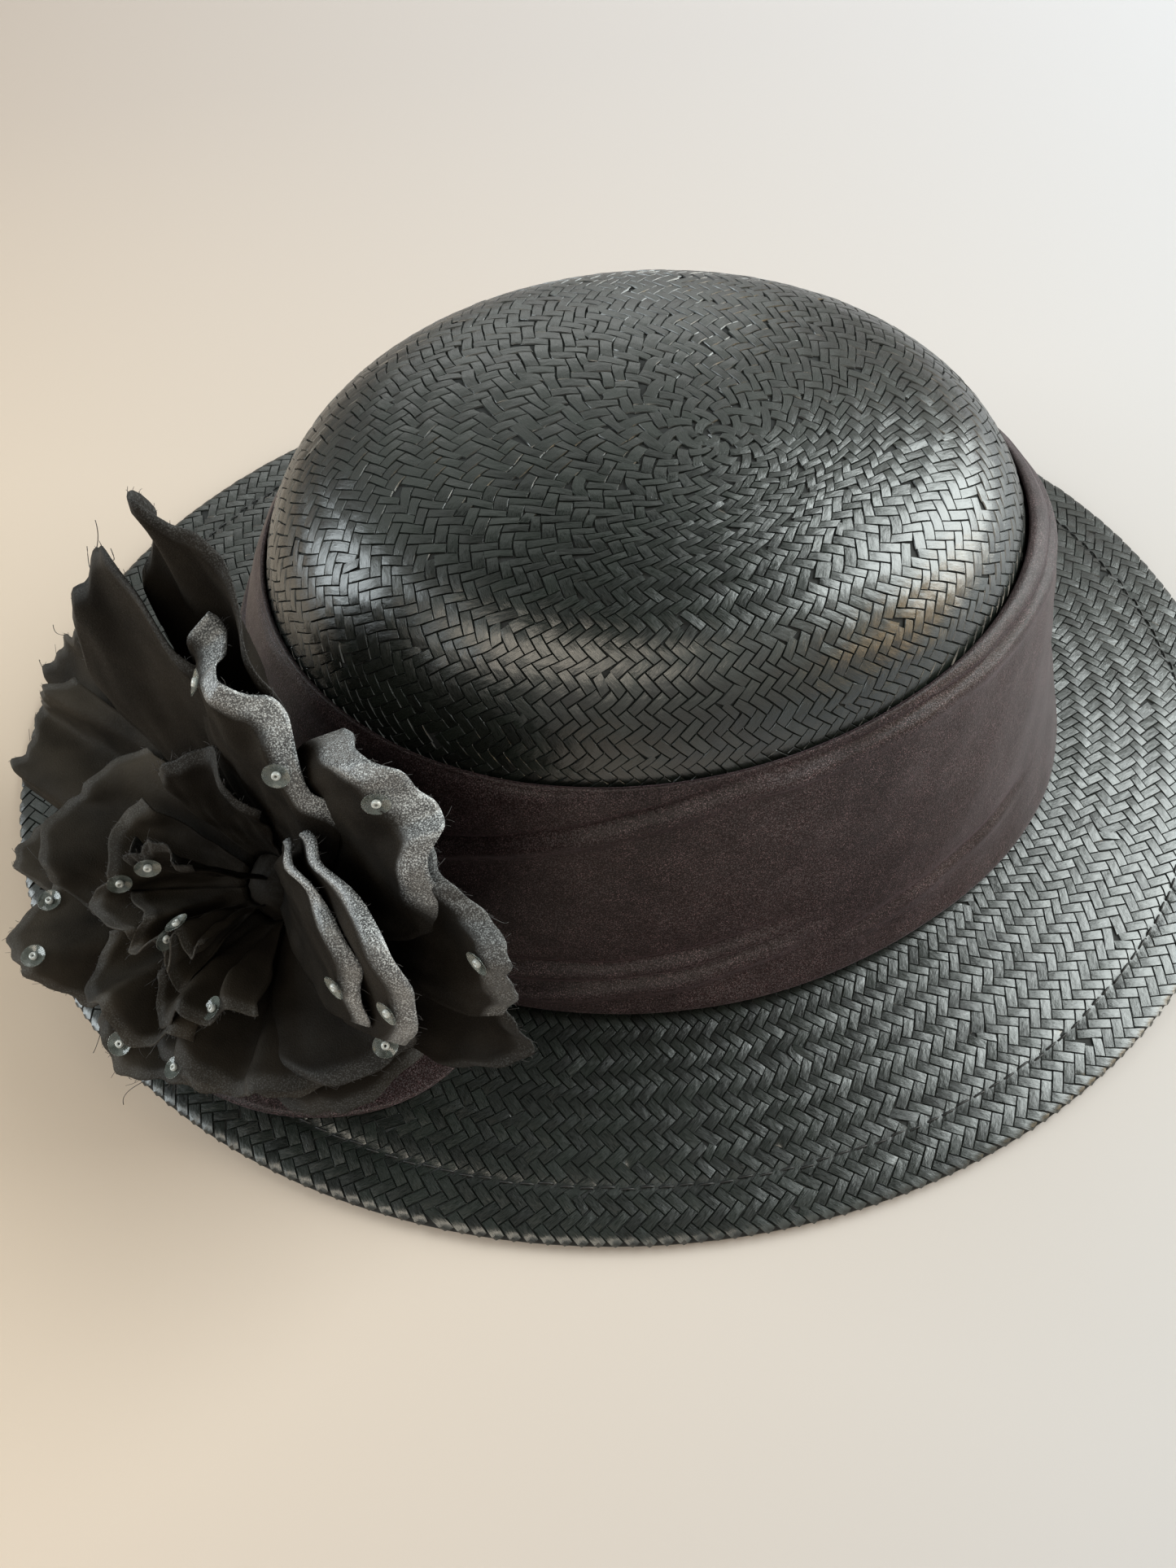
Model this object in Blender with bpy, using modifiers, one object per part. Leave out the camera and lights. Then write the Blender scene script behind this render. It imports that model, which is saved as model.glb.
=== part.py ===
"""A wide brim straw hat with a draped fabric band and a large fabric flower.

The hat stands on the outer edge of its brim, on the plane z = 0, +Z up.
+X runs along the head's long axis, and the origin is under the middle of the brim.
Lengths in the tables are in millimetres, angles in degrees.
"""
from collections import namedtuple
from math import acos, atan2, cos, exp, hypot, log, pi, radians, sin, sqrt, tan

import bmesh
import bpy
from mathutils import Vector

MM = 0.001

# Woven straw body
SEGMENTS = 56
STRAW = 1.8
CROWN_LONG = 100.0
CROWN_SHORT = 83.0
CROWN_HEIGHT = 111.0
DOME_ANGLE = 15.0
SHOULDER_RADIUS = 37.0
WALL_LEAN = 9.0
BRIM_LONG = 164.0
BRIM_SHORT = 143.0
BRIM_RISE = 9.0
COLLAR = 6.0
HEM_WIDTH = 17.0
HEM_THICKNESS = 3.2
REST_RING = 4.5
SEAM_GAP = 0.3

# Draped band
BAND_WALL = 1.6
BAND_FOOT = 8.5
BAND_FOOT_OUT = 8.0
BAND_TOP_LOW = 80.0
BAND_TOP_RISE = 9.5
BAND_OUT_DIRECTION = -20.0
FLOWER_SIDE = -155.0

# One row for each fold line of the band, foot to top. height is a share of the band's height,
# hang lowers the line beside the flower, offset is how far it stands off the crown and
# out is its share of the slack on the right.
Fold = namedtuple("Fold", "name height hang offset out")
FOLDS = (
    Fold("foot", 0.00, 0.0, BAND_FOOT, 1.00),
    Fold("low_crease", 0.22, 5.0, 4.6, 0.75),
    Fold("low_roll", 0.28, 4.0, 6.2, 0.75),
    Fold("middle", 0.50, 3.0, 5.4, 0.60),
    Fold("upper_swell", 0.80, 14.0, 4.4, 0.55),
    Fold("upper_crease", 0.93, 14.0, 3.0, 0.55),
    Fold("upper_roll", 0.96, 11.0, 4.6, 0.60),
    Fold("top_edge", 1.00, 0.0, 2.6, 0.60),
)

# Fabric flower
CLOTH = 1.0
CLOTH_GAP = 0.4
FLOWER_SEAT = (-101.0, -58.5, 45.0)
AXIS_AZIMUTH = 214.0
AXIS_ELEVATION = 36.0
FLOOR_SLOPE = 0.27
WALL_SLOPE = 0.14
OPEN_MAX = 106.0
OPEN_REFERENCE = 105.0
TURN_MAX = 0.61
LIMIT_SHARPNESS = 8.0
PETAL_ROWS = (0.0, 0.2, 0.42, 0.64, 0.84, 1.0)
PETAL_COLUMNS = 6
BACKING_DIRECTION = 208.0
BACKING_HALF_ANGLE = 33.0
BACKING_REACH_OUT = 48.0
BACKING_REACH_UP = 38.0
BACKING_LEAN = 0.04
CORNER_SLACK = 0.2
BACKING_COLUMNS = 14
BACKING_ROWS = (-1.0, -0.75, -0.5, -0.25, -0.06, 0.06, 0.3, 0.65, 1.0)
BASE_RADIUS = 11.1
BASE_SIDES = 16
BASE_DEPTH_MAX = 40.0
SEAT_SLACK = 0.6
CORNER_RISE = 2.6
STEM_GAP = 0.9
STEM_LEVELS = (0, 2, 5, 8, 10)

# One row for each level, from the heart outwards: radius of the ring that the petals are
# gathered on, how far the ring lies behind the heart, and how far the level opens from the
# flower's axis. Petals that lie over one another are on different levels.
Level = namedtuple("Level", "gather depth opening")
LEVELS = (
    Level(3.5, 0.0, 30.0),
    Level(4.8, 0.6, 58.0),
    Level(6.0, 1.6, 66.0),
    Level(6.9, 2.7, 70.0),
    Level(7.8, 3.8, 74.0),
    Level(8.6, 5.0, 78.0),
    Level(9.4, 6.2, 83.0),
    Level(10.2, 7.5, 89.0),
    Level(10.9, 8.8, 94.0),
    Level(11.5, 10.2, 99.0),
    Level(12.0, 11.6, 104.0),
)

# One row for each petal: direction is counted round the flower's axis from the level
# direction towards the back left, tip is how much shorter the petal is at its sides, power
# how sharp its tip is and lean how far the tip is to one side, flare and curl open it
# further along its length and at its rim, ruffle waves its rim, and fold creases it along
# its middle.
Petal = namedtuple(
    "Petal", "name level direction length width tip power lean flare curl ruffle waves phase fold"
)
PETALS = (
    Petal("petal_01", 7, 75, 97, 38, 0.45, 1.3, -0.2, -6, 0, 1.0, 1.0, 0.0, -6),
    Petal("petal_02", 6, 50, 79, 58, 0.40, 1.5, 0.0, 0, 6, 1.5, 1.5, 1.5, 0),
    Petal("petal_03", 9, 4, 84, 34, 0.20, 2.0, 0.0, -2, 0, 1.0, 1.5, 0.0, 0),
    Petal("petal_04", 8, -9, 76, 32, 0.15, 2.0, 0.0, -2, 0, 1.2, 1.5, 1.0, 0),
    Petal("petal_05", 10, -29, 66, 26, 0.12, 2.5, 0.0, -3, 0, 0.5, 1.5, 0.5, 0),
    Petal("petal_06", 7, -45, 57, 34, 0.20, 2.0, 0.0, 0, 0, 1.2, 1.5, 0.0, 0),
    Petal("petal_07", 9, -93, 43, 42, 0.20, 2.0, 0.0, -2, 0, 0.6, 1.5, 0.0, 0),
    Petal("petal_08", 10, -150, 42, 50, 0.20, 2.0, 0.0, -3, 0, 0.6, 2.0, 0.5, 0),
    Petal("petal_09", 9, 168, 60, 42, 0.20, 2.0, 0.0, -2, 0, 0.6, 1.5, 0.0, 0),
    Petal("petal_10", 7, 147, 78, 38, 0.15, 2.0, 0.0, 0, 6, 1.2, 2.0, 0.0, 0),
    Petal("petal_11", 8, -122, 41, 48, 0.15, 2.0, 0.0, 0, 4, 1.0, 2.0, 1.0, 0),
    Petal("petal_12", 5, 103, 78, 42, 0.38, 1.5, -0.6, 0, 8, 1.5, 2.5, 0.0, 0),
    Petal("petal_13", 6, 128, 86, 42, 0.15, 2.0, 0.0, 0, 8, 1.5, 2.0, 0.5, 0),
    Petal("petal_14", 5, 179, 47, 50, 0.20, 2.0, 0.0, 0, 8, 1.5, 2.0, 0.0, 0),
    Petal("petal_15", 6, -138, 42, 48, 0.20, 2.0, 0.0, 0, 5, 1.5, 2.0, 0.0, 0),
    Petal("petal_16", 5, -84, 38, 40, 0.20, 2.0, 0.0, 0, 5, 1.2, 2.0, 0.0, 0),
    Petal("petal_17", 6, -32, 48, 46, 0.20, 2.0, 0.0, 0, 5, 1.5, 2.0, 0.0, 0),
    Petal("petal_18", 3, 140, 85, 46, 0.15, 2.0, 0.0, 0, 8, 1.5, 2.5, 0.0, 0),
    Petal("petal_19", 4, -118, 38, 50, 0.20, 2.0, 0.0, 0, 5, 1.5, 2.0, 0.0, 0),
    Petal("petal_20", 4, 54, 52, 46, 0.20, 2.0, 0.0, 0, 5, 1.5, 2.0, 0.0, 0),
    Petal("petal_21", 3, -34, 36, 46, 0.20, 2.0, 0.0, 0, 5, 1.5, 2.0, 0.0, 0),
    Petal("petal_22", 2, 136, 84, 36, 0.15, 2.0, 0.0, 0, 8, 1.5, 2.0, 0.0, 0),
    Petal("petal_23", 1, -80, 34, 44, 0.20, 2.0, 0.0, 0, 5, 1.5, 2.0, 0.0, 0),
    Petal("petal_24", 0, 80, 36, 28, 0.20, 2.0, 0.0, 0, 5, 1.0, 1.5, 0.0, 0),
    Petal("petal_25", 0, -110, 32, 28, 0.20, 2.0, 0.0, 0, 5, 1.0, 1.5, 0.0, 0),
)

# One row for each sequin: the petal that it is sewn to, and its place along and across it.
SEQUIN_RADIUS = 2.8
SEQUIN_THICKNESS = 0.6
SEQUIN_SIDES = 10
SEQUIN_GAP = 0.6
Sequin = namedtuple("Sequin", "petal along across")
SEQUINS = (
    Sequin("petal_12", 0.92, -0.50),
    Sequin("petal_13", 0.92, -0.17),
    Sequin("petal_12", 0.92, 0.50),
    Sequin("petal_22", 0.92, 0.17),
    Sequin("petal_18", 0.92, 0.17),
    Sequin("petal_10", 0.92, 0.17),
    Sequin("petal_14", 0.92, 0.17),
    Sequin("petal_24", 0.92, -0.17),
    Sequin("petal_21", 0.92, 0.17),
    Sequin("petal_06", 0.92, -0.17),
    Sequin("petal_23", 0.92, -0.50),
    Sequin("petal_25", 0.92, -0.17),
    Sequin("petal_06", 0.92, 0.50),
    Sequin("petal_07", 0.92, -0.50),
    Sequin("petal_07", 0.92, 0.17),
    Sequin("petal_19", 0.92, -0.50),
)

# Colour, roughness and metallic value of each material
Finish = namedtuple("Finish", "colour roughness metallic")
FINISHES = {
    "straw": Finish((0.030, 0.034, 0.034), 0.50, 0.0),
    "band_fabric": Finish((0.035, 0.022, 0.024), 0.45, 0.0),
    "petal_fabric": Finish((0.020, 0.018, 0.018), 0.40, 0.0),
    "sequin": Finish((0.55, 0.56, 0.52), 0.15, 0.0),
}


def clear_scene():
    for obj in list(bpy.data.objects):
        bpy.data.objects.remove(obj, do_unlink=True)


def make_collection(name):
    collection = bpy.data.collections.new(name)
    bpy.context.scene.collection.children.link(collection)
    return collection


def make_material(name, finish):
    material = bpy.data.materials.new(name)
    material.use_nodes = True
    shader = material.node_tree.nodes["Principled BSDF"]
    shader.inputs["Base Color"].default_value = (*finish.colour, 1.0)
    shader.inputs["Roughness"].default_value = finish.roughness
    shader.inputs["Metallic"].default_value = finish.metallic
    return material


def add_object(collection, name, mesh, finish_name):
    obj = bpy.data.objects.new(name, mesh)
    mesh.materials.append(make_material(name + "_finish", FINISHES[finish_name]))
    mesh.shade_smooth()
    mesh.set_sharp_from_angle(angle=radians(40.0))
    collection.objects.link(obj)
    return obj


def mesh_from_grid(name, rows, closed_rows=True, closed_columns=False, poles=False):
    """A mesh lofted through rows of points, given in millimetres.

    closed_rows joins the ends of each row, closed_columns joins the last row to the first,
    and poles closes the first and last row with a fan.
    """
    mesh = bpy.data.meshes.new(name)
    bm = bmesh.new()
    grid = [[bm.verts.new(Vector(point) * MM) for point in row] for row in rows]
    width = len(rows[0])
    spans = len(rows) if closed_columns else len(rows) - 1
    steps = width if closed_rows else width - 1
    for i in range(spans):
        upper = grid[i]
        lower = grid[(i + 1) % len(rows)]
        for j in range(steps):
            k = (j + 1) % width
            bm.faces.new((upper[j], lower[j], lower[k], upper[k]))
    if poles:
        for ring in (grid[0], grid[-1]):
            centre = sum((vertex.co for vertex in ring), Vector()) / width
            pole = bm.verts.new(centre)
            for j in range(width):
                bm.faces.new((ring[j], ring[(j + 1) % width], pole))
    bmesh.ops.recalc_face_normals(bm, faces=bm.faces)
    bm.to_mesh(mesh)
    bm.free()
    return mesh


def oval_ring(long_radius, short_radius, height):
    points = []
    for j in range(SEGMENTS):
        angle = 2 * pi * j / SEGMENTS
        points.append((long_radius * cos(angle), short_radius * sin(angle), height))
    return points


def interpolate(x, pairs):
    """The value at x of straight runs between (x, value) pairs in rising order."""
    if x <= pairs[0][0]:
        return pairs[0][1]
    for (x0, y0), (x1, y1) in zip(pairs, pairs[1:]):
        if x <= x1:
            return y0 + (y1 - y0) * (x - x0) / (x1 - x0)
    return pairs[-1][1]


def bell(angle, centre, half_width):
    """A smooth bump of height 1 at the centre angle, 0 beyond half_width from it."""
    away = abs((angle - centre + 180.0) % 360.0 - 180.0)
    return 0.5 * (1 + cos(pi * min(1.0, away / half_width)))


def crown_profile(dome_steps, shoulder_steps, wall_steps):
    """(radius, height over the brim, slope) from the middle of the top to the base."""
    start = radians(DOME_ANGLE)
    end = pi / 2 - radians(WALL_LEAN)
    lean = tan(radians(WALL_LEAN))
    shoulder_height = SHOULDER_RADIUS * (cos(start) - cos(end))
    shoulder_reach = SHOULDER_RADIUS * (sin(end) - sin(start))
    reach = CROWN_LONG - shoulder_reach - lean * (CROWN_HEIGHT - shoulder_height)
    dome_edge = reach / (1 - lean * tan(start / 2))
    dome_radius = dome_edge / sin(start)
    profile = []
    for i in range(1, dome_steps + 1):
        slope = start * i / dome_steps
        profile.append((dome_radius * sin(slope), CROWN_HEIGHT - dome_radius * (1 - cos(slope)), slope))
    edge_height = profile[-1][1]
    for i in range(1, shoulder_steps + 1):
        slope = start + (end - start) * i / shoulder_steps
        radius = dome_edge + SHOULDER_RADIUS * (sin(slope) - sin(start))
        height = edge_height - SHOULDER_RADIUS * (cos(start) - cos(slope))
        profile.append((radius, height, slope))
    wall_radius, wall_height, _ = profile[-1]
    for i in range(1, wall_steps + 1):
        height = wall_height * (1 - i / wall_steps)
        profile.append((wall_radius + (wall_height - height) * lean, height, end))
    return profile


def crown_radius(height):
    """Half-length of the crown's outer oval at a height over the floor, on its wall."""
    pairs = [(z + BRIM_RISE, r) for r, z, _ in reversed(crown_profile(6, 12, 1))]
    return interpolate(height, pairs)


def crown_ring(height, offset):
    """Half-length and half-width of the oval that stands off the crown's wall."""
    long_radius = crown_radius(height)
    return long_radius + offset, long_radius * CROWN_SHORT / CROWN_LONG + offset


def crown_section(radius, height, slope, inset):
    """The ring of the crown's shell that lies inset below its outer surface."""
    long_radius = radius - inset * sin(slope)
    short_radius = radius * CROWN_SHORT / CROWN_LONG - inset * sin(slope)
    return oval_ring(long_radius, short_radius, height + BRIM_RISE - inset * cos(slope))


def build_crown(collection):
    base = COLLAR + SEAM_GAP
    lean = tan(radians(WALL_LEAN))
    end = pi / 2 - radians(WALL_LEAN)
    rings = []
    outer = [row for row in crown_profile(4, 6, 3) if row[1] > base + 5.0]
    outer.append((CROWN_LONG - base * lean, base, end))
    inner = [row for row in crown_profile(3, 4, 1) if row[1] > base + 5.0]
    inner.append((CROWN_LONG - base * lean, base, end))
    for radius, height, slope in outer:
        rings.append(crown_section(radius, height, slope, 0.0))
    last = inner.pop()
    rings.append(oval_ring(last[0] - STRAW, last[0] * CROWN_SHORT / CROWN_LONG - STRAW, base + BRIM_RISE))
    for radius, height, slope in reversed(inner):
        rings.append(crown_section(radius, height, slope, STRAW))
    mesh = mesh_from_grid("crown", rings, poles=True)
    return add_object(collection, "crown", mesh, "straw")


# One row for each line of the brim: across runs from the crown's base, 0, to the edge, 1,
# and top and under are the heights of its two faces over the floor.
BrimLine = namedtuple("BrimLine", "across top under")


def brim_lines():
    width = BRIM_LONG - CROWN_LONG
    hem = 1 - HEM_WIDTH / width
    rest = 1 - REST_RING / width
    lines = []
    for across in (0.08, 0.24, 0.48, hem - 0.005, hem, rest, 0.99):
        top = HEM_THICKNESS + (BRIM_RISE + STRAW - HEM_THICKNESS) * (1 - across ** 1.35)
        thickness = STRAW if across < hem else HEM_THICKNESS
        under = top - thickness
        lines.append(BrimLine(across, top, 0.0 if across >= rest else under))
    return lines


def brim_oval(across):
    long_radius = CROWN_LONG + (BRIM_LONG - CROWN_LONG) * across
    short_radius = CROWN_SHORT + (BRIM_SHORT - CROWN_SHORT) * across
    return long_radius, short_radius


def brim_top(across):
    return interpolate(across, [(line.across, line.top) for line in brim_lines()])


def build_brim(collection):
    lines = brim_lines()
    lean = tan(radians(WALL_LEAN))
    ratio = CROWN_SHORT / CROWN_LONG
    collar_long = CROWN_LONG - COLLAR * lean
    collar_top = BRIM_RISE + COLLAR
    fillet = BRIM_RISE + STRAW + 0.6
    rings = [oval_ring(collar_long, collar_long * ratio, collar_top)]
    rings.append(oval_ring(CROWN_LONG, CROWN_SHORT, BRIM_RISE + 3.6))
    rings.append(oval_ring(CROWN_LONG + 1.4, CROWN_SHORT + 1.4, fillet))
    for line in lines:
        rings.append(oval_ring(*brim_oval(line.across), line.top))
    rings.append(oval_ring(BRIM_LONG, BRIM_SHORT, 0.72 * HEM_THICKNESS))
    rings.append(oval_ring(BRIM_LONG, BRIM_SHORT, 0.28 * HEM_THICKNESS))
    for line in reversed(lines):
        rings.append(oval_ring(*brim_oval(line.across), line.under))
    rings.append(oval_ring(CROWN_LONG - 0.4, CROWN_SHORT - 0.4, BRIM_RISE))
    rings.append(oval_ring(CROWN_LONG - STRAW, CROWN_SHORT - STRAW, BRIM_RISE + 2.4))
    rings.append(oval_ring(collar_long - STRAW, collar_long * ratio - STRAW, collar_top))
    mesh = mesh_from_grid("brim", rings, closed_columns=True)
    return add_object(collection, "brim", mesh, "straw")


def band_foot_height():
    """The band's foot rests on the brim, a seam gap over it."""
    return brim_top(0.0) + SEAM_GAP + 0.2


def band_line(fold, angle):
    """(height over the floor, distance from the crown) of a fold line at an angle."""
    foot = band_foot_height()
    top = BAND_TOP_LOW + BAND_TOP_RISE * bell(angle, -35.0, 110.0)
    drop = fold.hang * bell(angle, FLOWER_SIDE, 95.0)
    height = foot + (top - foot) * fold.height - drop
    slack = BAND_FOOT_OUT * bell(angle, BAND_OUT_DIRECTION, 52.0)
    return height, fold.offset + fold.out * slack


def band_point(fold, angle, inset):
    height, offset = band_line(fold, angle)
    long_radius, short_radius = crown_ring(height, offset - inset)
    turn = radians(angle)
    return long_radius * cos(turn), short_radius * sin(turn), height


def build_band(collection):
    angles = [360.0 * j / SEGMENTS for j in range(SEGMENTS)]
    rings = [[band_point(fold, angle, 0.0) for angle in angles] for fold in reversed(FOLDS)]
    rings += [[band_point(fold, angle, BAND_WALL) for angle in angles] for fold in FOLDS]
    mesh = mesh_from_grid("band", rings, closed_columns=True)
    return add_object(collection, "band", mesh, "band_fabric")


def band_offset_at(height, angle):
    """How far the band's outer face stands off the crown at a height and an angle."""
    return interpolate(height, [band_line(fold, angle) for fold in FOLDS])


def backing_offset(lift, reach):
    """How far the backing stands off the crown, reach over the band's foot."""
    return BAND_FOOT + CORNER_SLACK + lift - BACKING_LEAN * reach


def backing_point(angle, reach, lift):
    """A point lift over the brim where reach is negative, and over the band where it isn't."""
    turn = radians(angle)
    foot = band_foot_height()
    if reach <= 0:
        out = backing_offset(lift, 0.0) - reach
        width = BRIM_LONG - CROWN_LONG
        long_radius, short_radius = CROWN_LONG + out, CROWN_SHORT + out
        height = brim_top(out / width) + lift
        return long_radius * cos(turn), short_radius * sin(turn), height
    height = foot + lift + reach
    long_radius, short_radius = crown_ring(height, backing_offset(lift, reach))
    return long_radius * cos(turn), short_radius * sin(turn), height


def backing_sheet(lift):
    rows = []
    for share in BACKING_ROWS:
        row = []
        for j in range(BACKING_COLUMNS + 1):
            side = 0.97 * (2.0 * j / BACKING_COLUMNS - 1.0)
            reach = share * sqrt(1 - side * side)
            reach *= BACKING_REACH_OUT if share < 0 else BACKING_REACH_UP
            row.append(backing_point(BACKING_DIRECTION + side * BACKING_HALF_ANGLE, reach, lift))
        rows.append(row)
    return rows


def closed_sheet(name, under, over):
    """A closed body between two sheets of points that have the same rows."""
    loops = []
    for low, high in zip(under, over):
        loops.append(list(low) + list(reversed(high)))
    mesh = mesh_from_grid(name, loops)
    bm = bmesh.new()
    bm.from_mesh(mesh)
    bm.verts.ensure_lookup_table()
    loop_size = len(loops[0])
    half = loop_size // 2
    for first in (0, (len(loops) - 1) * loop_size):
        for j in range(half - 1):
            corners = (first + j, first + j + 1, first + loop_size - 2 - j, first + loop_size - 1 - j)
            bm.faces.new([bm.verts[k] for k in corners])
    bmesh.ops.recalc_face_normals(bm, faces=bm.faces)
    bm.to_mesh(mesh)
    bm.free()
    return mesh


def build_backing(collection):
    under = backing_sheet(CLOTH_GAP)
    over = backing_sheet(CLOTH_GAP + CLOTH)
    mesh = closed_sheet("flower_backing", under, over)
    return add_object(collection, "flower_backing", mesh, "band_fabric")


def flower_axes():
    """The flower's axis, the level direction across it and the third direction."""
    azimuth, elevation = radians(AXIS_AZIMUTH), radians(AXIS_ELEVATION)
    axis = Vector((cos(azimuth) * cos(elevation), sin(azimuth) * cos(elevation), sin(elevation)))
    level = Vector((sin(azimuth), -cos(azimuth), 0.0))
    upward = axis.cross(level)
    if upward.z < 0:
        upward.negate()
    return axis, level, upward


def plane_limit(along, across, slope):
    """The widest angle from the axis that stays on one side of a plane with that slope."""
    size = hypot(along, across)
    return acos(max(-1.0, min(1.0, -slope / size))) - atan2(across, along)


def open_limit(direction):
    """The widest opening in a direction: the brim below, the crown behind, or the fabric."""
    rise, run = sin(radians(AXIS_ELEVATION)), cos(radians(AXIS_ELEVATION))
    floor = plane_limit(rise, -run * sin(direction), FLOOR_SLOPE)
    wall = plane_limit(run, rise * sin(direction), WALL_SLOPE)
    limits = (floor, wall, radians(OPEN_MAX))
    return -log(sum(exp(-LIMIT_SHARPNESS * limit) for limit in limits)) / LIMIT_SHARPNESS


def petal_opening(petal, along):
    """Angle from the flower's axis at a share of the petal's length, in open space."""
    rim = max(0.0, (along - 0.7) / 0.3)
    return radians(LEVELS[petal.level].opening + petal.flare * along + petal.curl * rim * rim)


def petal_section(petal, along, squeeze, steps=24):
    """(distance from the axis, height on it) of a petal's line at a share of its length."""
    radius = LEVELS[petal.level].gather
    height = -LEVELS[petal.level].depth
    step = along / steps
    for i in range(steps):
        opening = petal_opening(petal, (i + 0.5) * step) * squeeze
        radius += sin(opening) * step * petal.length
        height += cos(opening) * step * petal.length
    return radius, height


def petal_half_width(petal, along):
    swell = sin(0.5 * pi * min(1.0, along / 0.62))
    return 0.5 * petal.width * (0.16 + 0.84 * swell)


def petal_outline(petal, across):
    """How much of the petal's length it has at a place across it."""
    away = abs(across - petal.lean) / (1 + abs(petal.lean))
    return 1 - petal.tip * away ** petal.power


def petal_point(petal, along, across):
    middle = radians(petal.direction)
    reach = along * petal_outline(petal, across)
    middle_squeeze = open_limit(middle) / radians(OPEN_REFERENCE)
    middle_radius, _ = petal_section(petal, reach, middle_squeeze)
    turn = min(TURN_MAX, petal_half_width(petal, reach) / middle_radius)
    direction = middle + across * turn
    squeeze = open_limit(direction) / radians(OPEN_REFERENCE)
    radius, height = petal_section(petal, reach, squeeze)
    opening = petal_opening(petal, reach) * squeeze
    push = petal.ruffle * reach * reach * sin(pi * petal.waves * across + petal.phase)
    push -= petal.fold * (1 - abs(across)) * sin(0.9 * pi * reach)
    radius += push * cos(opening)
    height -= push * sin(opening)
    axis, level, upward = flower_axes()
    sideways = level * (radius * cos(direction)) + upward * (radius * sin(direction))
    return Vector(FLOWER_SEAT) + sideways + axis * height


def petal_rows(petal):
    rows = []
    for along in PETAL_ROWS:
        row = []
        for j in range(PETAL_COLUMNS + 1):
            row.append(petal_point(petal, along, 2.0 * j / PETAL_COLUMNS - 1.0))
        rows.append(row)
    return rows


def build_petal(collection, petal):
    mesh = mesh_from_grid(petal.name, petal_rows(petal), closed_rows=False)
    obj = add_object(collection, petal.name, mesh, "petal_fabric")
    cloth = obj.modifiers.new("cloth", "SOLIDIFY")
    cloth.thickness = CLOTH * MM
    cloth.offset = 0.0
    return obj


def axis_ring(radius, height):
    """A ring of points about the flower's axis, height in front of its heart."""
    axis, level, upward = flower_axes()
    ring = []
    for side in range(BASE_SIDES):
        direction = 2 * pi * side / BASE_SIDES
        spoke = level * (radius * cos(direction)) + upward * (radius * sin(direction))
        ring.append(Vector(FLOWER_SEAT) + spoke + axis * height)
    return ring


def behind_base(point):
    """Whether a point is within a seam gap of the backing, or beyond it."""
    lift = 2 * CLOTH_GAP + CLOTH + SEAT_SLACK
    reach = point.z - band_foot_height() - lift
    long_radius, short_radius = crown_ring(point.z, backing_offset(lift, reach))
    inside_wall = hypot(point.x / long_radius, point.y / short_radius) < 1.0
    return inside_wall or point.z < brim_top(0.1) + lift + CORNER_RISE


def seated(start):
    """The place behind start, along the flower's axis, where the backing is met."""
    axis, _, _ = flower_axes()
    depth = 0.0
    while depth < BASE_DEPTH_MAX and not behind_base(start - axis * (depth + 0.1)):
        depth += 0.1
    return start - axis * depth


def build_flower_base(collection):
    """The seat that the petals are gathered on: a stem through their rings and a foot."""
    rings = [axis_ring(LEVELS[k].gather - STEM_GAP, -LEVELS[k].depth) for k in STEM_LEVELS]
    foot = -LEVELS[-1].depth - 0.5 * CLOTH - CLOTH_GAP
    rings.append(axis_ring(BASE_RADIUS, foot))
    for radius in (BASE_RADIUS, 0.65 * BASE_RADIUS, 0.3 * BASE_RADIUS):
        rings.append([seated(start) for start in axis_ring(radius, foot)])
    mesh = mesh_from_grid("flower_base", rings, poles=True)
    return add_object(collection, "flower_base", mesh, "band_fabric")


def sheet_cell(petal, along, across):
    """Place and face direction on the flat cell of a petal's mesh."""
    rows = petal_rows(petal)
    i = max(k for k in range(len(PETAL_ROWS) - 1) if PETAL_ROWS[k] <= along)
    u = (along - PETAL_ROWS[i]) / (PETAL_ROWS[i + 1] - PETAL_ROWS[i])
    place = (across + 1) / 2 * PETAL_COLUMNS
    j = min(PETAL_COLUMNS - 1, int(place))
    v = place - j
    near = rows[i][j].lerp(rows[i][j + 1], v)
    far = rows[i + 1][j].lerp(rows[i + 1][j + 1], v)
    point = near.lerp(far, u)
    normal = (rows[i][j + 1] - rows[i][j]).cross(rows[i + 1][j] - rows[i][j]).normalized()
    return point, normal


def build_sequin(collection, number, sequin):
    petal = next(row for row in PETALS if row.name == sequin.petal)
    point, normal = sheet_cell(petal, sequin.along, sequin.across)
    axis, _, _ = flower_axes()
    if normal.dot(axis) < 0:
        normal.negate()
    name = "sequin_%02d" % number
    mesh = bpy.data.meshes.new(name)
    bm = bmesh.new()
    radius = SEQUIN_RADIUS * MM
    bmesh.ops.create_cone(bm, cap_ends=True, segments=SEQUIN_SIDES, radius1=radius, radius2=radius,
                          depth=SEQUIN_THICKNESS * MM)
    bm.to_mesh(mesh)
    bm.free()
    obj = add_object(collection, name, mesh, "sequin")
    lift = 0.5 * CLOTH + SEQUIN_GAP + 0.5 * SEQUIN_THICKNESS
    obj.location = (point + normal * lift) * MM
    obj.rotation_euler = normal.to_track_quat("Z", "Y").to_euler()
    return obj


def build_hat():
    clear_scene()
    collection = make_collection("straw_hat")
    build_crown(collection)
    build_brim(collection)
    build_band(collection)
    build_backing(collection)
    build_flower_base(collection)
    for petal in PETALS:
        build_petal(collection, petal)
    for number, sequin in enumerate(SEQUINS, start=1):
        build_sequin(collection, number, sequin)


build_hat()
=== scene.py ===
"""The look of a wide brim straw hat with a draped fabric band and a large fabric flower.

The hat stands on the plane z = 0, +Z up, +X along the head's long axis.
Lengths in the tables are in millimetres, angles in degrees.
"""
from collections import namedtuple
from math import cos, exp, hypot, pi, radians, sin, tan

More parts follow.
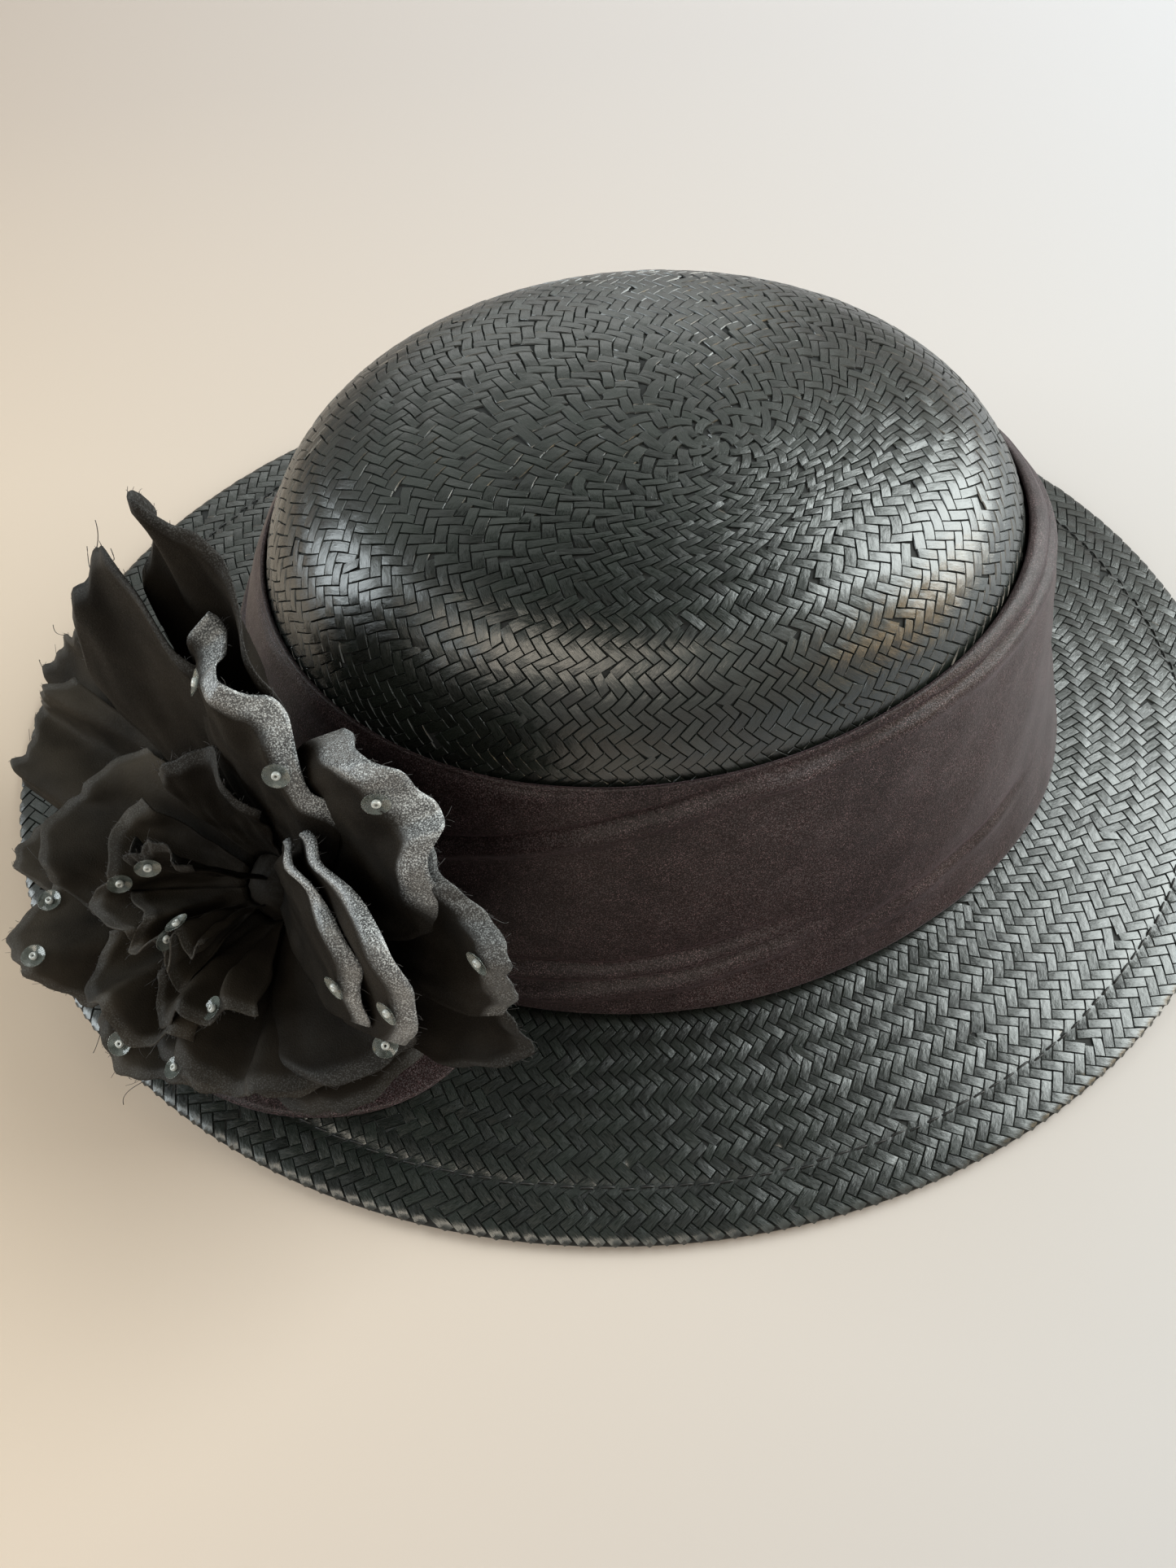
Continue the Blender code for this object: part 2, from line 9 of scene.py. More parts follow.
import bpy
import numpy as np
from mathutils import Matrix, Vector


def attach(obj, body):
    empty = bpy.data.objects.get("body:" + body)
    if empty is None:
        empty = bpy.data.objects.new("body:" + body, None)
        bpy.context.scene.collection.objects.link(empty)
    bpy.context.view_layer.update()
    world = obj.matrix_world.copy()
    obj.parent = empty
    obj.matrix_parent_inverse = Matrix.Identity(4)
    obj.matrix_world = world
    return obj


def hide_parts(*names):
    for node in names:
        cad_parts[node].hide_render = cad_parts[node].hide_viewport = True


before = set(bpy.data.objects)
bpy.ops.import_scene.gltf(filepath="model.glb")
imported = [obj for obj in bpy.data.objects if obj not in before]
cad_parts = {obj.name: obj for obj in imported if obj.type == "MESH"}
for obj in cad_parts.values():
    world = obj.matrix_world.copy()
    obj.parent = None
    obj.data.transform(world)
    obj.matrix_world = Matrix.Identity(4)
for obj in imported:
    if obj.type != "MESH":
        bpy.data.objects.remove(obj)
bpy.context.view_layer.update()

MM = 0.001

# Camera: the photograph's own frame and angle, aimed at a point of the floor
IMAGE_LONG_SIDE = 1927
FOCAL_PIXELS = 2100.0
SENSOR = 36.0
PITCH = 54.93
ROLL = 1.46
YAW = 12.7
AIM = (-12.81, -16.28)
DISTANCE = 456.22

# Straw body
STRAW = 1.8
CROWN_LONG = 100.0
CROWN_SHORT = 83.0
CROWN_HEIGHT = 111.0
DOME_ANGLE = 15.0
SHOULDER_RADIUS = 37.0
WALL_LEAN = 9.0
BRIM_LONG = 164.0
BRIM_SHORT = 143.0
BRIM_RISE = 9.0
BRIM_FALL = 1.35
COLLAR = 6.0
HEM_WIDTH = 17.0
HEM_THICKNESS = 3.2
REST_RING = 4.5
SEAM_GAP = 0.3
LAID_GAP = 0.5
FLOOR_GAP = 0.45
TOP_STEPS = 60
BED_DEPTH = 0.26
BED_EDGE = 0.55
SHELL_SEGMENTS = 168

# Weave: rows of slanted floats, alternately to the left and to the right
CENTRE_X = 8.5
CENTRE_Y = -12.4
CENTRE_REACH = 60.0
CROWN_VISIBLE = 125.0
OVAL_WARP = 0.046
RING_STEPS = 3000
GOLDEN_ANGLE = 2.399963
SPACING_LEAST = 0.72
SPACING_MOST = 1.4
SLANT_MOST = 0.3
FLOAT_RISE = 0.24
FLOAT_SAG = 0.13
FLOAT_CROWN = 0.04
FLOAT_EDGE = -0.12
FLOAT_TILT = 0.035
FLOAT_LIFT = 0.03
STRAND_SHARP = 32.0
STRAND_WIDTH = 0.91
WANDER = 0.34
STITCH_FROM_EDGE = 13.5
STITCH_COUNT = 205
STITCH_POINTS = 6
STITCH_RADIUS = 0.26
STITCH_SIDES = 6
STITCH_SPAN = 0.38
GROOVE_DEPTH = 0.55
GROOVE_WIDTH = 0.8

# The grid of one float, along and across it: fine outside, plainer where it is hardly seen
FINE = ((-1.0, -0.94, -0.5, 0.0, 0.5, 0.94, 1.0), (-1.0, -0.88, 0.0, 0.88, 1.0))
PLAIN = ((-1.0, -0.8, 0.0, 0.8, 1.0), (-1.0, -0.7, 0.7, 1.0))

# A weave's row height, the angle its first added strand joins at, and how many strands it has at
# a distance from its middle
Count = namedtuple("Count", "distance strands")
Pattern = namedtuple("Pattern", "row_height phase counts")
CROWN_PATTERN = Pattern(3.6, 0.6, (Count(0, 0), Count(62, 104), Count(105, 152), Count(125, 158)))
BRIM_PATTERN = Pattern(3.85, 2.1, (Count(100, 198), Count(135, 212), Count(164, 247)))

# Slow waves, summed: the height, the turns over a first and a second measure, and the phase
Wave = namedtuple("Wave", "height first second phase")
ROW_WAVES = (Wave(1, 11, 0.17, 0), Wave(0.8, 23, -0.31, 1.3), Wave(0.7, 5, 0.5, 0))
DRAPE_WAVES = (
    Wave(0.35, 3, 0.09, 0), Wave(0.25, 7, -0.13, 1.0), Wave(0.10, 19, 0.35, 0), Wave(0.08, 31, -0.22, 2.0))
BACKING_WAVES = (Wave(0.25, 9, 4, 0), Wave(0.18, 17, -6, 0))

# Draped band
BAND_CLOTH = 0.9
BAND_FOOT = 8.5
BAND_FOOT_OUT = 4.6
BAND_FOOT_SHARE = 0.06
BAND_TOP_LOW = 80.0
BAND_TOP_RISE = 9.5
BAND_TOP_DIRECTION = -35.0
BAND_TOP_SPREAD = 110.0
BAND_OUT_DIRECTION = -20.0
BAND_OUT_SPREAD = 52.0
BAND_LEAST = 1.7
BAND_SEGMENTS = 320
BAND_ROWS = 120
FLAKE_SHARE = 0.09

# The band's standing off the crown at shares of its height, and its share of the slack
Stand = namedtuple("Stand", "height offset out")
STANDS = (
    Stand(0.000, 7.2, 0.95),
    Stand(0.030, 8.5, 1.00),
    Stand(0.120, 7.6, 0.90),
    Stand(0.300, 6.3, 0.80),
    Stand(0.500, 5.6, 0.75),
    Stand(0.800, 4.6, 0.70),
    Stand(0.930, 3.6, 0.65),
    Stand(0.960, 3.2, 0.60),
    Stand(0.985, 2.3, 0.45),
    Stand(1.000, 0.9, 0.20),
)

# One row for each pleat: the path of its crease as (angle, height) pairs, the crease's depth and
# width, how far the cloth above it lies back and how high that reaches, and how far the fold
# under it stands proud.
PLEAT_FADE = 12.0
Pleat = namedtuple("Pleat", "name path depth width back reach lip")
PLEATS = (
    Pleat("upper", ((-150, 52), (-128, 60), (-110, 71.4), (-97, 78.7), (-86, 84), (-70, 85)),
          2.4, 0.9, 1.3, 9.0, 1.1),
    Pleat("tucked_top", ((-95, 83.6), (-60, 85.4), (-35, 85.6), (0, 84), (40, 81)),
          1.8, 0.7, 0.5, 3.0, 0.7),
    Pleat("low", ((-150, 26), (-117, 27.5), (-104, 28.6), (-92, 31.5), (-76, 38)),
          1.5, 1.3, 0.6, 7.0, 0.9),
    Pleat("lowest", ((-140, 18), (-114, 21), (-95, 25.3), (-74, 34.5)), 2.0, 1.0, 0.7, 4.0, 1.2),
    Pleat("right_low", ((-80, 22.5), (-61, 28.5), (-48, 31), (-34, 34)), 0.9, 1.8, 0.4, 8.0, 0.3),
    Pleat("back_low", ((20, 30), (70, 34), (120, 30), (170, 27)), 1.3, 1.2, 0.6, 6.0, 0.7),
    Pleat("back_high", ((10, 62), (60, 70), (120, 66), (190, 56)), 1.5, 1.2, 0.8, 8.0, 0.8),
)

# Fabric flower: its seat, its axis and how far it can open before brim and crown
CLOTH = 1.0
CLOTH_GAP = 0.4
FLOWER_SEAT = (-101.0, -58.5, 45.0)
AXIS_AZIMUTH = 214.0
AXIS_ELEVATION = 36.0
FLOOR_SLOPE = 0.27
WALL_SLOPE = 0.14
OPEN_MAX = 106.0
OPEN_REFERENCE = 105.0
TURN_MAX = 0.61
LIMIT_SHARPNESS = 8.0
SECTION_STEPS = 60

# The backing behind the flower, and the gathered seat
BACKING_CLOTH = 0.8
BACKING_DIRECTION = 208.0
BACKING_HALF_ANGLE = 33.0
BACKING_REACH_OUT = 48.0
BACKING_REACH_UP = 38.0
BACKING_LEAN = 0.04
BACKING_SIDE = 0.995
BACKING_ROWS = 46
BACKING_COLUMNS = 60
CORNER_SLACK = 0.2
BASE_RADIUS = 11.1
BASE_INSET = 0.4
BASE_DEPTH_MAX = 40.0
BASE_STEP = 0.2
SEAT_SLACK = 0.6
SEAT_SIDES = 72
SEAT_PLEATS = 0.035
SEAT_PLEAT_COUNT = 12
CORNER_RISE = 2.6
STEM_GAP = 0.9
STEM_LEVELS = (0, 2, 5, 8, 10)

# One row for each level of petals, from the heart outwards
Level = namedtuple("Level", "gather depth opening")
LEVELS = (
    Level(3.5, 0.0, 30.0),
    Level(4.8, 0.6, 58.0),
    Level(6.0, 1.6, 66.0),
    Level(6.9, 2.7, 70.0),
    Level(7.8, 3.8, 74.0),
    Level(8.6, 5.0, 78.0),
    Level(9.4, 6.2, 83.0),
    Level(10.2, 7.5, 89.0),
    Level(10.9, 8.8, 94.0),
    Level(11.5, 10.2, 99.0),
    Level(12.0, 11.6, 104.0),
)

# One row for each petal in turn, as in the CAD model; cup closes it along its length, and its rim
# is rolled back by the angle lip over the width hem, which grows by swell towards its later side;
# tilt raises its earlier side.
Petal = namedtuple(
    "Petal",
    "name level direction length width tip power lean flare curl "
    "ruffle waves phase fold cup lip hem swell tilt",
)
PETAL_TABLE = (
    (7, 79, 101, 38, 0.45, 1.3, -0.2, -6, 0, 2.6, 2.2, 0.4, -8, 0, 30, 5, 0, 0),
    (6, 55, 83, 62, 0.42, 1.4, 0.05, 0, 4, 2.2, 1.7, 1.5, 0, 0, 40, 4, -0.2, 3),
    (9, 1, 84, 38, 0.2, 2.0, 0, -2, 0, 2.6, 2.0, 0.4, 0, 0, 35, 4, 0, 3),
    (8, -6, 72, 28, 0.05, 3.0, 0, -2, 0, 3.2, 1.8, 1.0, 0, 10, 40, 4, 0, 4),
    (10, -29, 72, 28, 0.4, 1.3, 0, -3, 0, 2.6, 2.2, 0.5, 0, 0, 25, 4, 0, 5),
    (7, -48, 55, 34, 0.2, 2.0, 0, 0, 0, 3.0, 1.8, 0.2, 0, 14, 35, 4, 0, 4),
    (9, -90, 47, 46, 0.2, 2.0, 0, -2, 0, 2.4, 2.2, 1.2, 0, 0, 30, 4, 0, 3),
    (10, -150, 42, 50, 0.2, 2.0, 0, -3, 0, 2.0, 2.4, 0.5, 0, 0, 25, 4, 0, 0),
    (9, 168, 60, 42, 0.2, 2.0, 0, -2, 0, 1.8, 1.7, 0.3, 0, 0, 35, 5, 0, 0),
    (7, 147, 78, 38, 0.15, 2.0, 0, 4, 4, 0.8, 1.5, 0, 0, 0, 55, 7, 0.3, 0),
    (8, -122, 41, 48, 0.15, 2.0, 0, 0, 4, 2.8, 2.3, 1.0, 0, 8, 35, 4, 0, 0),
    (5, 97, 76, 40, 0.3, 1.6, -0.6, 6, 0, 1.2, 1.9, 0.3, 0, 0, 75, 7.5, -0.1, 0),
    (6, 126, 84, 42, 0.22, 2.0, 0, 7, 0, 0.8, 1.5, 0.5, 0, 0, 75, 9.5, 0.1, 0),
    (5, 182, 44, 52, 0.2, 2.0, 0, 3, 4, 2.6, 1.9, 2.0, 0, 0, 45, 6, 0, 0),
    (6, -138, 42, 48, 0.2, 2.0, 0, 0, 5, 1.5, 2.2, 0.3, 0, 14, 40, 5, 0, -3),
    (5, -84, 42, 40, 0.2, 2.0, 0, 0, 5, 1.6, 2.0, 2.6, 0, 20, 40, 4, 0, 0),
    (6, -16, 50, 40, 0.3, 1.6, 0, 0, 5, 3.6, 2.2, 1.4, 0, 12, 40, 4, 0, 9),
    (3, 155, 72, 78, 0.5, 1.4, -0.15, 15, 0, 1.4, 1.7, 0.5, 0, 0, 75, 5.5, 0.6, 0),
    (4, -118, 34, 50, 0.2, 2.0, 0, 0, 5, 1.5, 2.3, 0.8, 0, 28, 45, 4, 0, 8),
    (4, 60, 37, 62, 0.25, 1.8, 0, 0, 5, 1.5, 1.5, 0, 0, 10, 45, 4, 0, 5),
    (3, -27, 34, 46, 0.2, 2.0, 0, 0, 5, 3.2, 1.7, 3.6, 0, 32, 45, 4, 0, 4.5),
    (2, 154, 62, 66, 0.5, 1.4, -0.15, 12, 0, 1.4, 1.9, 0.3, 0, 0, 75, 5, 0.7, 0),
    (1, -66, 28, 44, 0.2, 2.0, 0, 0, 5, 3.0, 1.9, 1.0, 0, 34, 40, 4, 0, 0),
    (0, 62, 38, 46, 0.2, 2.0, 0, 0, 5, 1.0, 1.5, 0, 0, 0, 40, 4, 0, 4),
    (0, -110, 26, 28, 0.2, 2.0, 0, 0, 5, 1.0, 1.5, 0, 0, 0, 30, 3, 0, 5),
)
PETALS = [Petal("petal_%02d" % number, *row) for number, row in enumerate(PETAL_TABLE, start=1)]
PETAL_ROWS = 45
PETAL_COLUMNS = 41
PETAL_CLOTH = 0.4
FIRST_PETAL_SEED = 100
LIP_BEND = 0.45
LIP_WAVES = 1.9
RIM_WAVE = 0.9
RIM_WAVES = 2.2
OUTLINE_WAVE = 0.03
SHARED_WAVE = 1.4
SHARED_WAVES = 6.0
CRINKLE = 0.34

# Deep folds that all petals of the flower's lower side share
FOLD_DEPTH = 3.8
FOLD_COUNT = 11.0
FOLD_PHASE = 0.6
FOLD_SWIRL = 1.3
FOLD_DIRECTION = -75.0
FOLD_SECTOR = 85.0
FOLD_FADE = 30.0

# Painted light on petals: a highlight on each rolled rim, brighter the further it rolls back, and a lit side
# of the faces
RIM_LEAST = 0.10
RIM_DULL_LIP = 42.0
RIM_FULL_LIP = 72.0
PAINTED_LIGHT_DIRECTION = -60.0
PAINTED_LIGHT_START = -0.35

# One row for each sequin: its petal and its place across it, at one share of the petal's length
SEQUIN_ALONG = 0.92
SEQUIN_SIDES = 32
SEQUIN_LIFT = 0.15
BEAD_LIFT = 0.1
Sequin = namedtuple("Sequin", "petal across")
SEQUINS = (
    Sequin("petal_12", -0.50),
    Sequin("petal_13", -0.17),
    Sequin("petal_12", 0.50),
    Sequin("petal_22", 0.17),
    Sequin("petal_18", 0.17),
    Sequin("petal_10", 0.17),
    Sequin("petal_14", 0.17),
    Sequin("petal_24", -0.17),
    Sequin("petal_21", 0.17),
    Sequin("petal_06", -0.17),
    Sequin("petal_23", -0.50),
    Sequin("petal_25", -0.17),
    Sequin("petal_06", 0.50),
    Sequin("petal_07", -0.50),
    Sequin("petal_07", 0.17),
    Sequin("petal_19", -0.50),
)

# The turned outlines of a sequin's cup and of its bead, as (radius, height) pairs
CUP = (
    (0.5, 0.0), (1.3, 0.02), (1.5, 0.1), (2.2, 0.42), (2.74, 0.72), (2.8, 0.78), (2.76, 0.84),
    (2.66, 0.8), (2.1, 0.54), (1.45, 0.24), (1.2, 0.14), (0.5, 0.12),
)
BEAD = (
    (0.28, 0.25), (0.45, 0.1), (0.72, 0.08), (0.92, 0.3), (0.98, 0.6), (0.92, 0.9), (0.72, 1.12),
    (0.45, 1.1), (0.3, 0.95), (0.26, 0.6),
)

# Loose threads: the petal that each hangs from, where on its rim, its length and its bend
FRAYS = 44
FRAY_RADIUS = 0.05
FRAY_SHORTEST = 0.5
FRAY_LONGER = 1.6
THREAD_RADIUS = 0.09
THREAD_SIDES = 4
Thread = namedtuple("Thread", "petal across length aside rise")
THREADS = (
    Thread("petal_02", 0.05, 5.0, 0.5, 0.6),
    Thread("petal_02", -0.12, 6.0, -0.6, 0.5),
    Thread("petal_02", 0.3, 4.0, 0.8, 0.3),
    Thread("petal_03", 0.2, 8.0, -0.9, 0.1),
    Thread("petal_03", -0.4, 5.0, 0.6, -0.4),
    Thread("petal_07", -0.3, 7.0, 0.7, -0.5),
    Thread("petal_07", 0.4, 5.0, -0.5, -0.6),
    Thread("petal_13", 0.5, 5.0, 0.5, 0.5),
    Thread("petal_10", -0.3, 4.0, 0.8, -0.2),
)

# Stage: floor colours from front to back on its two sides, with painted light (left: lighter beside the hat,
# over its shadow, and darker to the back; right: lighter to the back), the room and its lights, with lengths
# in metres
FLOOR_SIZE = 4000.0
FLOOR_LEFT_PAINTED_LIGHT = (
    (0.0, (0.47, 0.36, 0.27)), (0.22, (0.62, 0.47, 0.325)),
    (0.6, (0.345, 0.262, 0.197)), (1.0, (0.20, 0.155, 0.125)),
)
FLOOR_RIGHT_PAINTED_LIGHT = ((0.0, (0.30, 0.36, 0.44)), (1.0, (0.63, 0.60, 0.62)))
WALL_LIGHT = (0.48, 0.46, 0.43)
UPPER_LIGHT = (0.74, 0.79, 0.74)
CEILING_LIGHT = (0.015, 0.015, 0.015)
LIGHT_TARGET = (0.0, 0.0, 0.05)
Light = namedtuple("Light", "name azimuth elevation distance width height power colour")
LIGHTS = (
    Light("window_right_back", 6, 32, 2.2, 1.6, 2.2, 92, (0.93, 1, 0.985)),
    Light("window_left", 172, 22, 1.8, 1.3, 1.0, 25, (0.88, 0.97, 1)),
    Light("room_right", -22, 16, 1.6, 1.0, 0.45, 4.2, (1, 0.66, 0.28)),
    Light("room_front_left", 236, 50, 2.4, 1.8, 0.8, 17, (1, 0.88, 0.72)),
    Light("room_back", 84, 20, 2.4, 1.6, 0.8, 5.5, (0.94, 1, 0.98)),
)


def bell(angle, centre, half_width):
    """A smooth bump of height 1 at the centre angle, 0 beyond half_width from it."""
    away = np.abs((angle - centre + 180.0) % 360.0 - 180.0)
    return 0.5 * (1 + np.cos(pi * np.minimum(1.0, away / half_width)))


def smooth_step(x):
    share = np.clip(x, 0.0, 1.0)
    return share * share * (3 - 2 * share)


def summed(waves, first, second=0.0):
    return sum(wave.height * np.sin(wave.first * first + wave.second * second + wave.phase)
               for wave in waves)


def unit(vectors):
    return vectors / np.maximum(np.linalg.norm(vectors, axis=-1, keepdims=True), 1e-9)


# Meshes

def linked_object(name, data):
    obj = bpy.data.objects.new(name, data)
    bpy.context.scene.collection.objects.link(obj)
    return obj


def mesh_object(name, points, faces, smooth=True):
    mesh = bpy.data.meshes.new(name)
    faces = faces.tolist() if isinstance(faces, np.ndarray) else faces
    mesh.from_pydata((np.asarray(points).reshape(-1, 3) * MM).tolist(), [], faces)
    if smooth:
        mesh.shade_smooth()
    mesh.update()
    return linked_object(name, mesh)


def grid_faces(rows, columns, start=0, wrap_rows=False, wrap_columns=False, flip=False):
    """Quads of a grid of points; a wrapped grid is joined end to end."""
    i = np.arange(rows if wrap_rows else rows - 1)
    j = np.arange(columns if wrap_columns else columns - 1)
    i, j = np.meshgrid(i, j, indexing="ij")
    below = (i + 1) % rows
    beside = (j + 1) % columns
    corners = [i * columns + j, below * columns + j, below * columns + beside, i * columns + beside]
    if flip:
        corners.reverse()
    return np.stack([corner.ravel() for corner in corners], axis=1) + start


def fan_faces(count, start, centre, flip=False):
    j = np.arange(count)
    faces = np.stack([start + j, start + (j + 1) % count, np.full(count, centre)], axis=1)
    return faces[:, ::-1] if flip else faces


def closed_shell(name, rings, ends):
    """A shell through rings of points, closed by fans to a middle point at its two ends."""
    count, sides = rings.shape[:2]
    size = count * sides
    faces = grid_faces(count, sides, wrap_columns=True).tolist()
    faces += fan_faces(sides, 0, size).tolist()
    faces += fan_faces(sides, size - sides, size + 1, flip=True).tolist()
    return mesh_object(name, np.concatenate([rings.reshape(-1, 3), ends]), faces)


def oval_places(long_radius, short_radius, z, turn):
    return np.stack([long_radius * np.cos(turn), short_radius * np.sin(turn), z + 0 * turn], axis=-1)


def oval_rings(rings, sides=SHELL_SEGMENTS):
    """Points of oval rings, given as (half-length, half-width, height)."""
    turn = np.linspace(0.0, 2 * pi, sides, endpoint=False)
    return np.array([oval_places(*ring, turn) for ring in rings])


def tube_points(path, radius, sides):
    """Rings of points round a line, without caps."""
    heading = unit(np.gradient(path, axis=0))
    helper = np.where(np.abs(heading[:, 2:3]) > 0.9, [[1.0, 0.0, 0.0]], [[0.0, 0.0, 1.0]])
    side = unit(np.cross(heading, helper))
    up = np.cross(side, heading)
    turn = np.linspace(0.0, 2 * pi, sides, endpoint=False)[None, :, None]
    return path[:, None, :] + (side[:, None, :] * np.cos(turn) + up[:, None, :] * np.sin(turn)) * radius


def tubes_object(name, paths, radii, sides):
    """Many short round strands as one mesh, each closed at its ends."""
    points = []
    faces = []
    start = 0
    for path, radius in zip(paths, radii):
        points.append(tube_points(path, radius, sides).reshape(-1, 3))
        size = len(points[-1])
        faces += grid_faces(len(path), sides, start, wrap_columns=True).tolist()
        faces.append([start + j for j in range(sides)])
        faces.append([start + size - sides + j for j in reversed(range(sides))])
        start += size
    return mesh_object(name, np.concatenate(points), faces)


def add_vectors(obj, name, values):
    layer = obj.data.attributes.new(name, "FLOAT_VECTOR", "POINT")
    layer.data.foreach_set("vector", np.asarray(values, dtype=np.float32).ravel())


def thicken(obj, thickness, offset=0.0):
    cloth = obj.modifiers.new("cloth", "SOLIDIFY")
    cloth.thickness = thickness * MM
    cloth.offset = offset


def finish_piece(obj, material, replaced=()):
    if not obj.data.materials:
        obj.data.materials.append(material)
    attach(obj, "root")
    if replaced:
        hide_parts(*replaced)


# Materials

class Look:
    """The nodes of a material or a world; an input takes a number, a colour or an output."""

    def __init__(self, owner):
        owner.use_nodes = True
        self.owner = owner
        self.nodes = owner.node_tree.nodes
        self.links = owner.node_tree.links

    def feed(self, node, inputs):
        for name, value in inputs.items():
            socket = node.inputs[name]
            if isinstance(value, bpy.types.NodeSocket):
                self.links.new(value, socket)
            else:
                socket.default_value = (*value, 1.0) if socket.type == "RGBA" else value

    def node(self, kind, output, inputs=(), **settings):
        node = self.nodes.new("ShaderNode" + kind)
        for name, value in settings.items():
            setattr(node, name, value)
        self.feed(node, dict(inputs))
        return node.outputs[output]

    def place(self):
        return self.node("TexCoord", "Object")

    def attribute(self, name):
        return self.node("Attribute", "Vector", attribute_name=name)

    def part(self, vector, axis):
        return self.node("SeparateXYZ", axis, {"Vector": vector})

    def scaled(self, vector, scale):
        return self.node("Mapping", "Vector", {"Vector": vector, "Scale": scale})

    def noise(self, vector, scale, detail=2.0, roughness=0.5):
        return self.node("TexNoise", "Fac", {
            "Vector": vector, "Scale": scale, "Detail": detail, "Roughness": roughness})

    def span(self, value, low, high, start=0.0, end=1.0):
        """Maps start to low and end to high."""
        return self.node("MapRange", "Result", {
            "Value": value, "From Min": start, "From Max": end, "To Min": low, "To Max": high})

    def add(self, first, second):
        return self.node("Math", "Value", {0: first, 1: second}, operation="ADD")

    def times(self, first, second):
        return self.node("Math", "Value", {0: first, 1: second}, operation="MULTIPLY")

    def mix(self, share, first, second):
        return self.node("Mix", "Result", {"Factor": share, "A": first, "B": second}, data_type="RGBA")

    def bump(self, height, strength, distance, under=()):
        """A bump over the bumps under it, if any."""
        return self.node("Bump", "Normal", {
            "Height": height, "Strength": strength, "Distance": distance, **dict(under)})

    def ramp(self, factor, *stops):
        node = self.nodes.new("ShaderNodeValToRGB")
        elements = node.color_ramp.elements
        while len(elements) < len(stops):
            elements.new(0.5)
        for element, (position, colour) in zip(elements, stops):
            element.position = position
            element.color = (*colour, 1.0)
        self.feed(node, {"Fac": factor})
        return node.outputs["Color"]

    def shade(self, inputs):
        self.feed(self.nodes["Principled BSDF"], inputs)
        return self.owner


def straw_material(name, dark, light, gloss):
    """Glossy flat strands, each with its own tone, fine fibres and soft crumples."""
    look = Look(bpy.data.materials.new(name))
    strand = look.attribute("strand")
    fibre = look.noise(look.scaled(strand, (0.35, 4.0, 0.0)), 1.6, 3.0, 0.6)
    crumple = look.noise(look.scaled(strand, (0.5, 0.7, 0.0)), 0.9)
    tone = look.add(look.times(look.part(strand, "Z"), 0.6), look.times(fibre, 0.45))
    fine = look.bump(fibre, 0.2, 0.00015)
    return look.shade({
        "Base Color": look.ramp(tone, (0.15, dark), (0.9, light)),
        "Roughness": look.span(fibre, gloss - 0.06, gloss + 0.12, 0.3, 0.7),
        "Specular IOR Level": 1.0,
        "Normal": look.bump(crumple, 0.2, 0.0006, {"Normal": fine}),
    })


def cloth_normal(look, place, grain, strength):
    """A fine woven grain over soft crinkles."""
    crinkle = look.bump(look.noise(place, 260.0, 3.0, 0.55), 0.25, 0.0005)
    return look.bump(grain, strength, 0.00022, {"Normal": crinkle})


def band_material():
    """Dull satin with a fine woven grain, whose glints where its tips catch the light are painted in as pale
    specks.
    """
    look = Look(bpy.data.materials.new("band_satin"))
    place = look.place()
    grain = look.noise(place, 2600.0, 2.0, 0.6)
    cloud = look.noise(place, 38.0, 3.0, 0.55)
    tone = look.add(look.times(cloud, 0.6), look.times(grain, 0.5))
    plain = look.ramp(tone, (0.3, (0.0013, 0.0011, 0.0008)), (0.75, (0.0150, 0.0052, 0.0052)))
    # Painted glints: pale specks in the base colour, thinned out in patches
    painted_glints = look.span(look.noise(place, 4200.0, 0.0), 0.0, 1.0, 0.62, 0.74)
    patches = look.span(look.noise(place, 240.0), 0.3, 1.0, 0.4, 0.6)
    dull = look.mix(look.times(painted_glints, patches), plain, (0.12, 0.075, 0.080))
    flakes = look.span(look.noise(place, 3200.0, 1.0), 0.0, FLAKE_SHARE, 0.48, 0.68)
    silver = look.ramp(cloud, (0.3, (0.40, 0.28, 0.31)), (0.7, (0.72, 0.66, 0.68)))
    return look.shade({
        "Base Color": look.mix(flakes, dull, silver),
        "Roughness": look.span(flakes, 0.44, 0.62),
        "Metallic": flakes,
        "Specular IOR Level": 0.24,
        "Sheen Weight": 0.09,
        "Sheen Roughness": 0.35,
        "Sheen Tint": (0.72, 0.54, 0.62),
        "Normal": cloth_normal(look, place, grain, 0.5),
    })


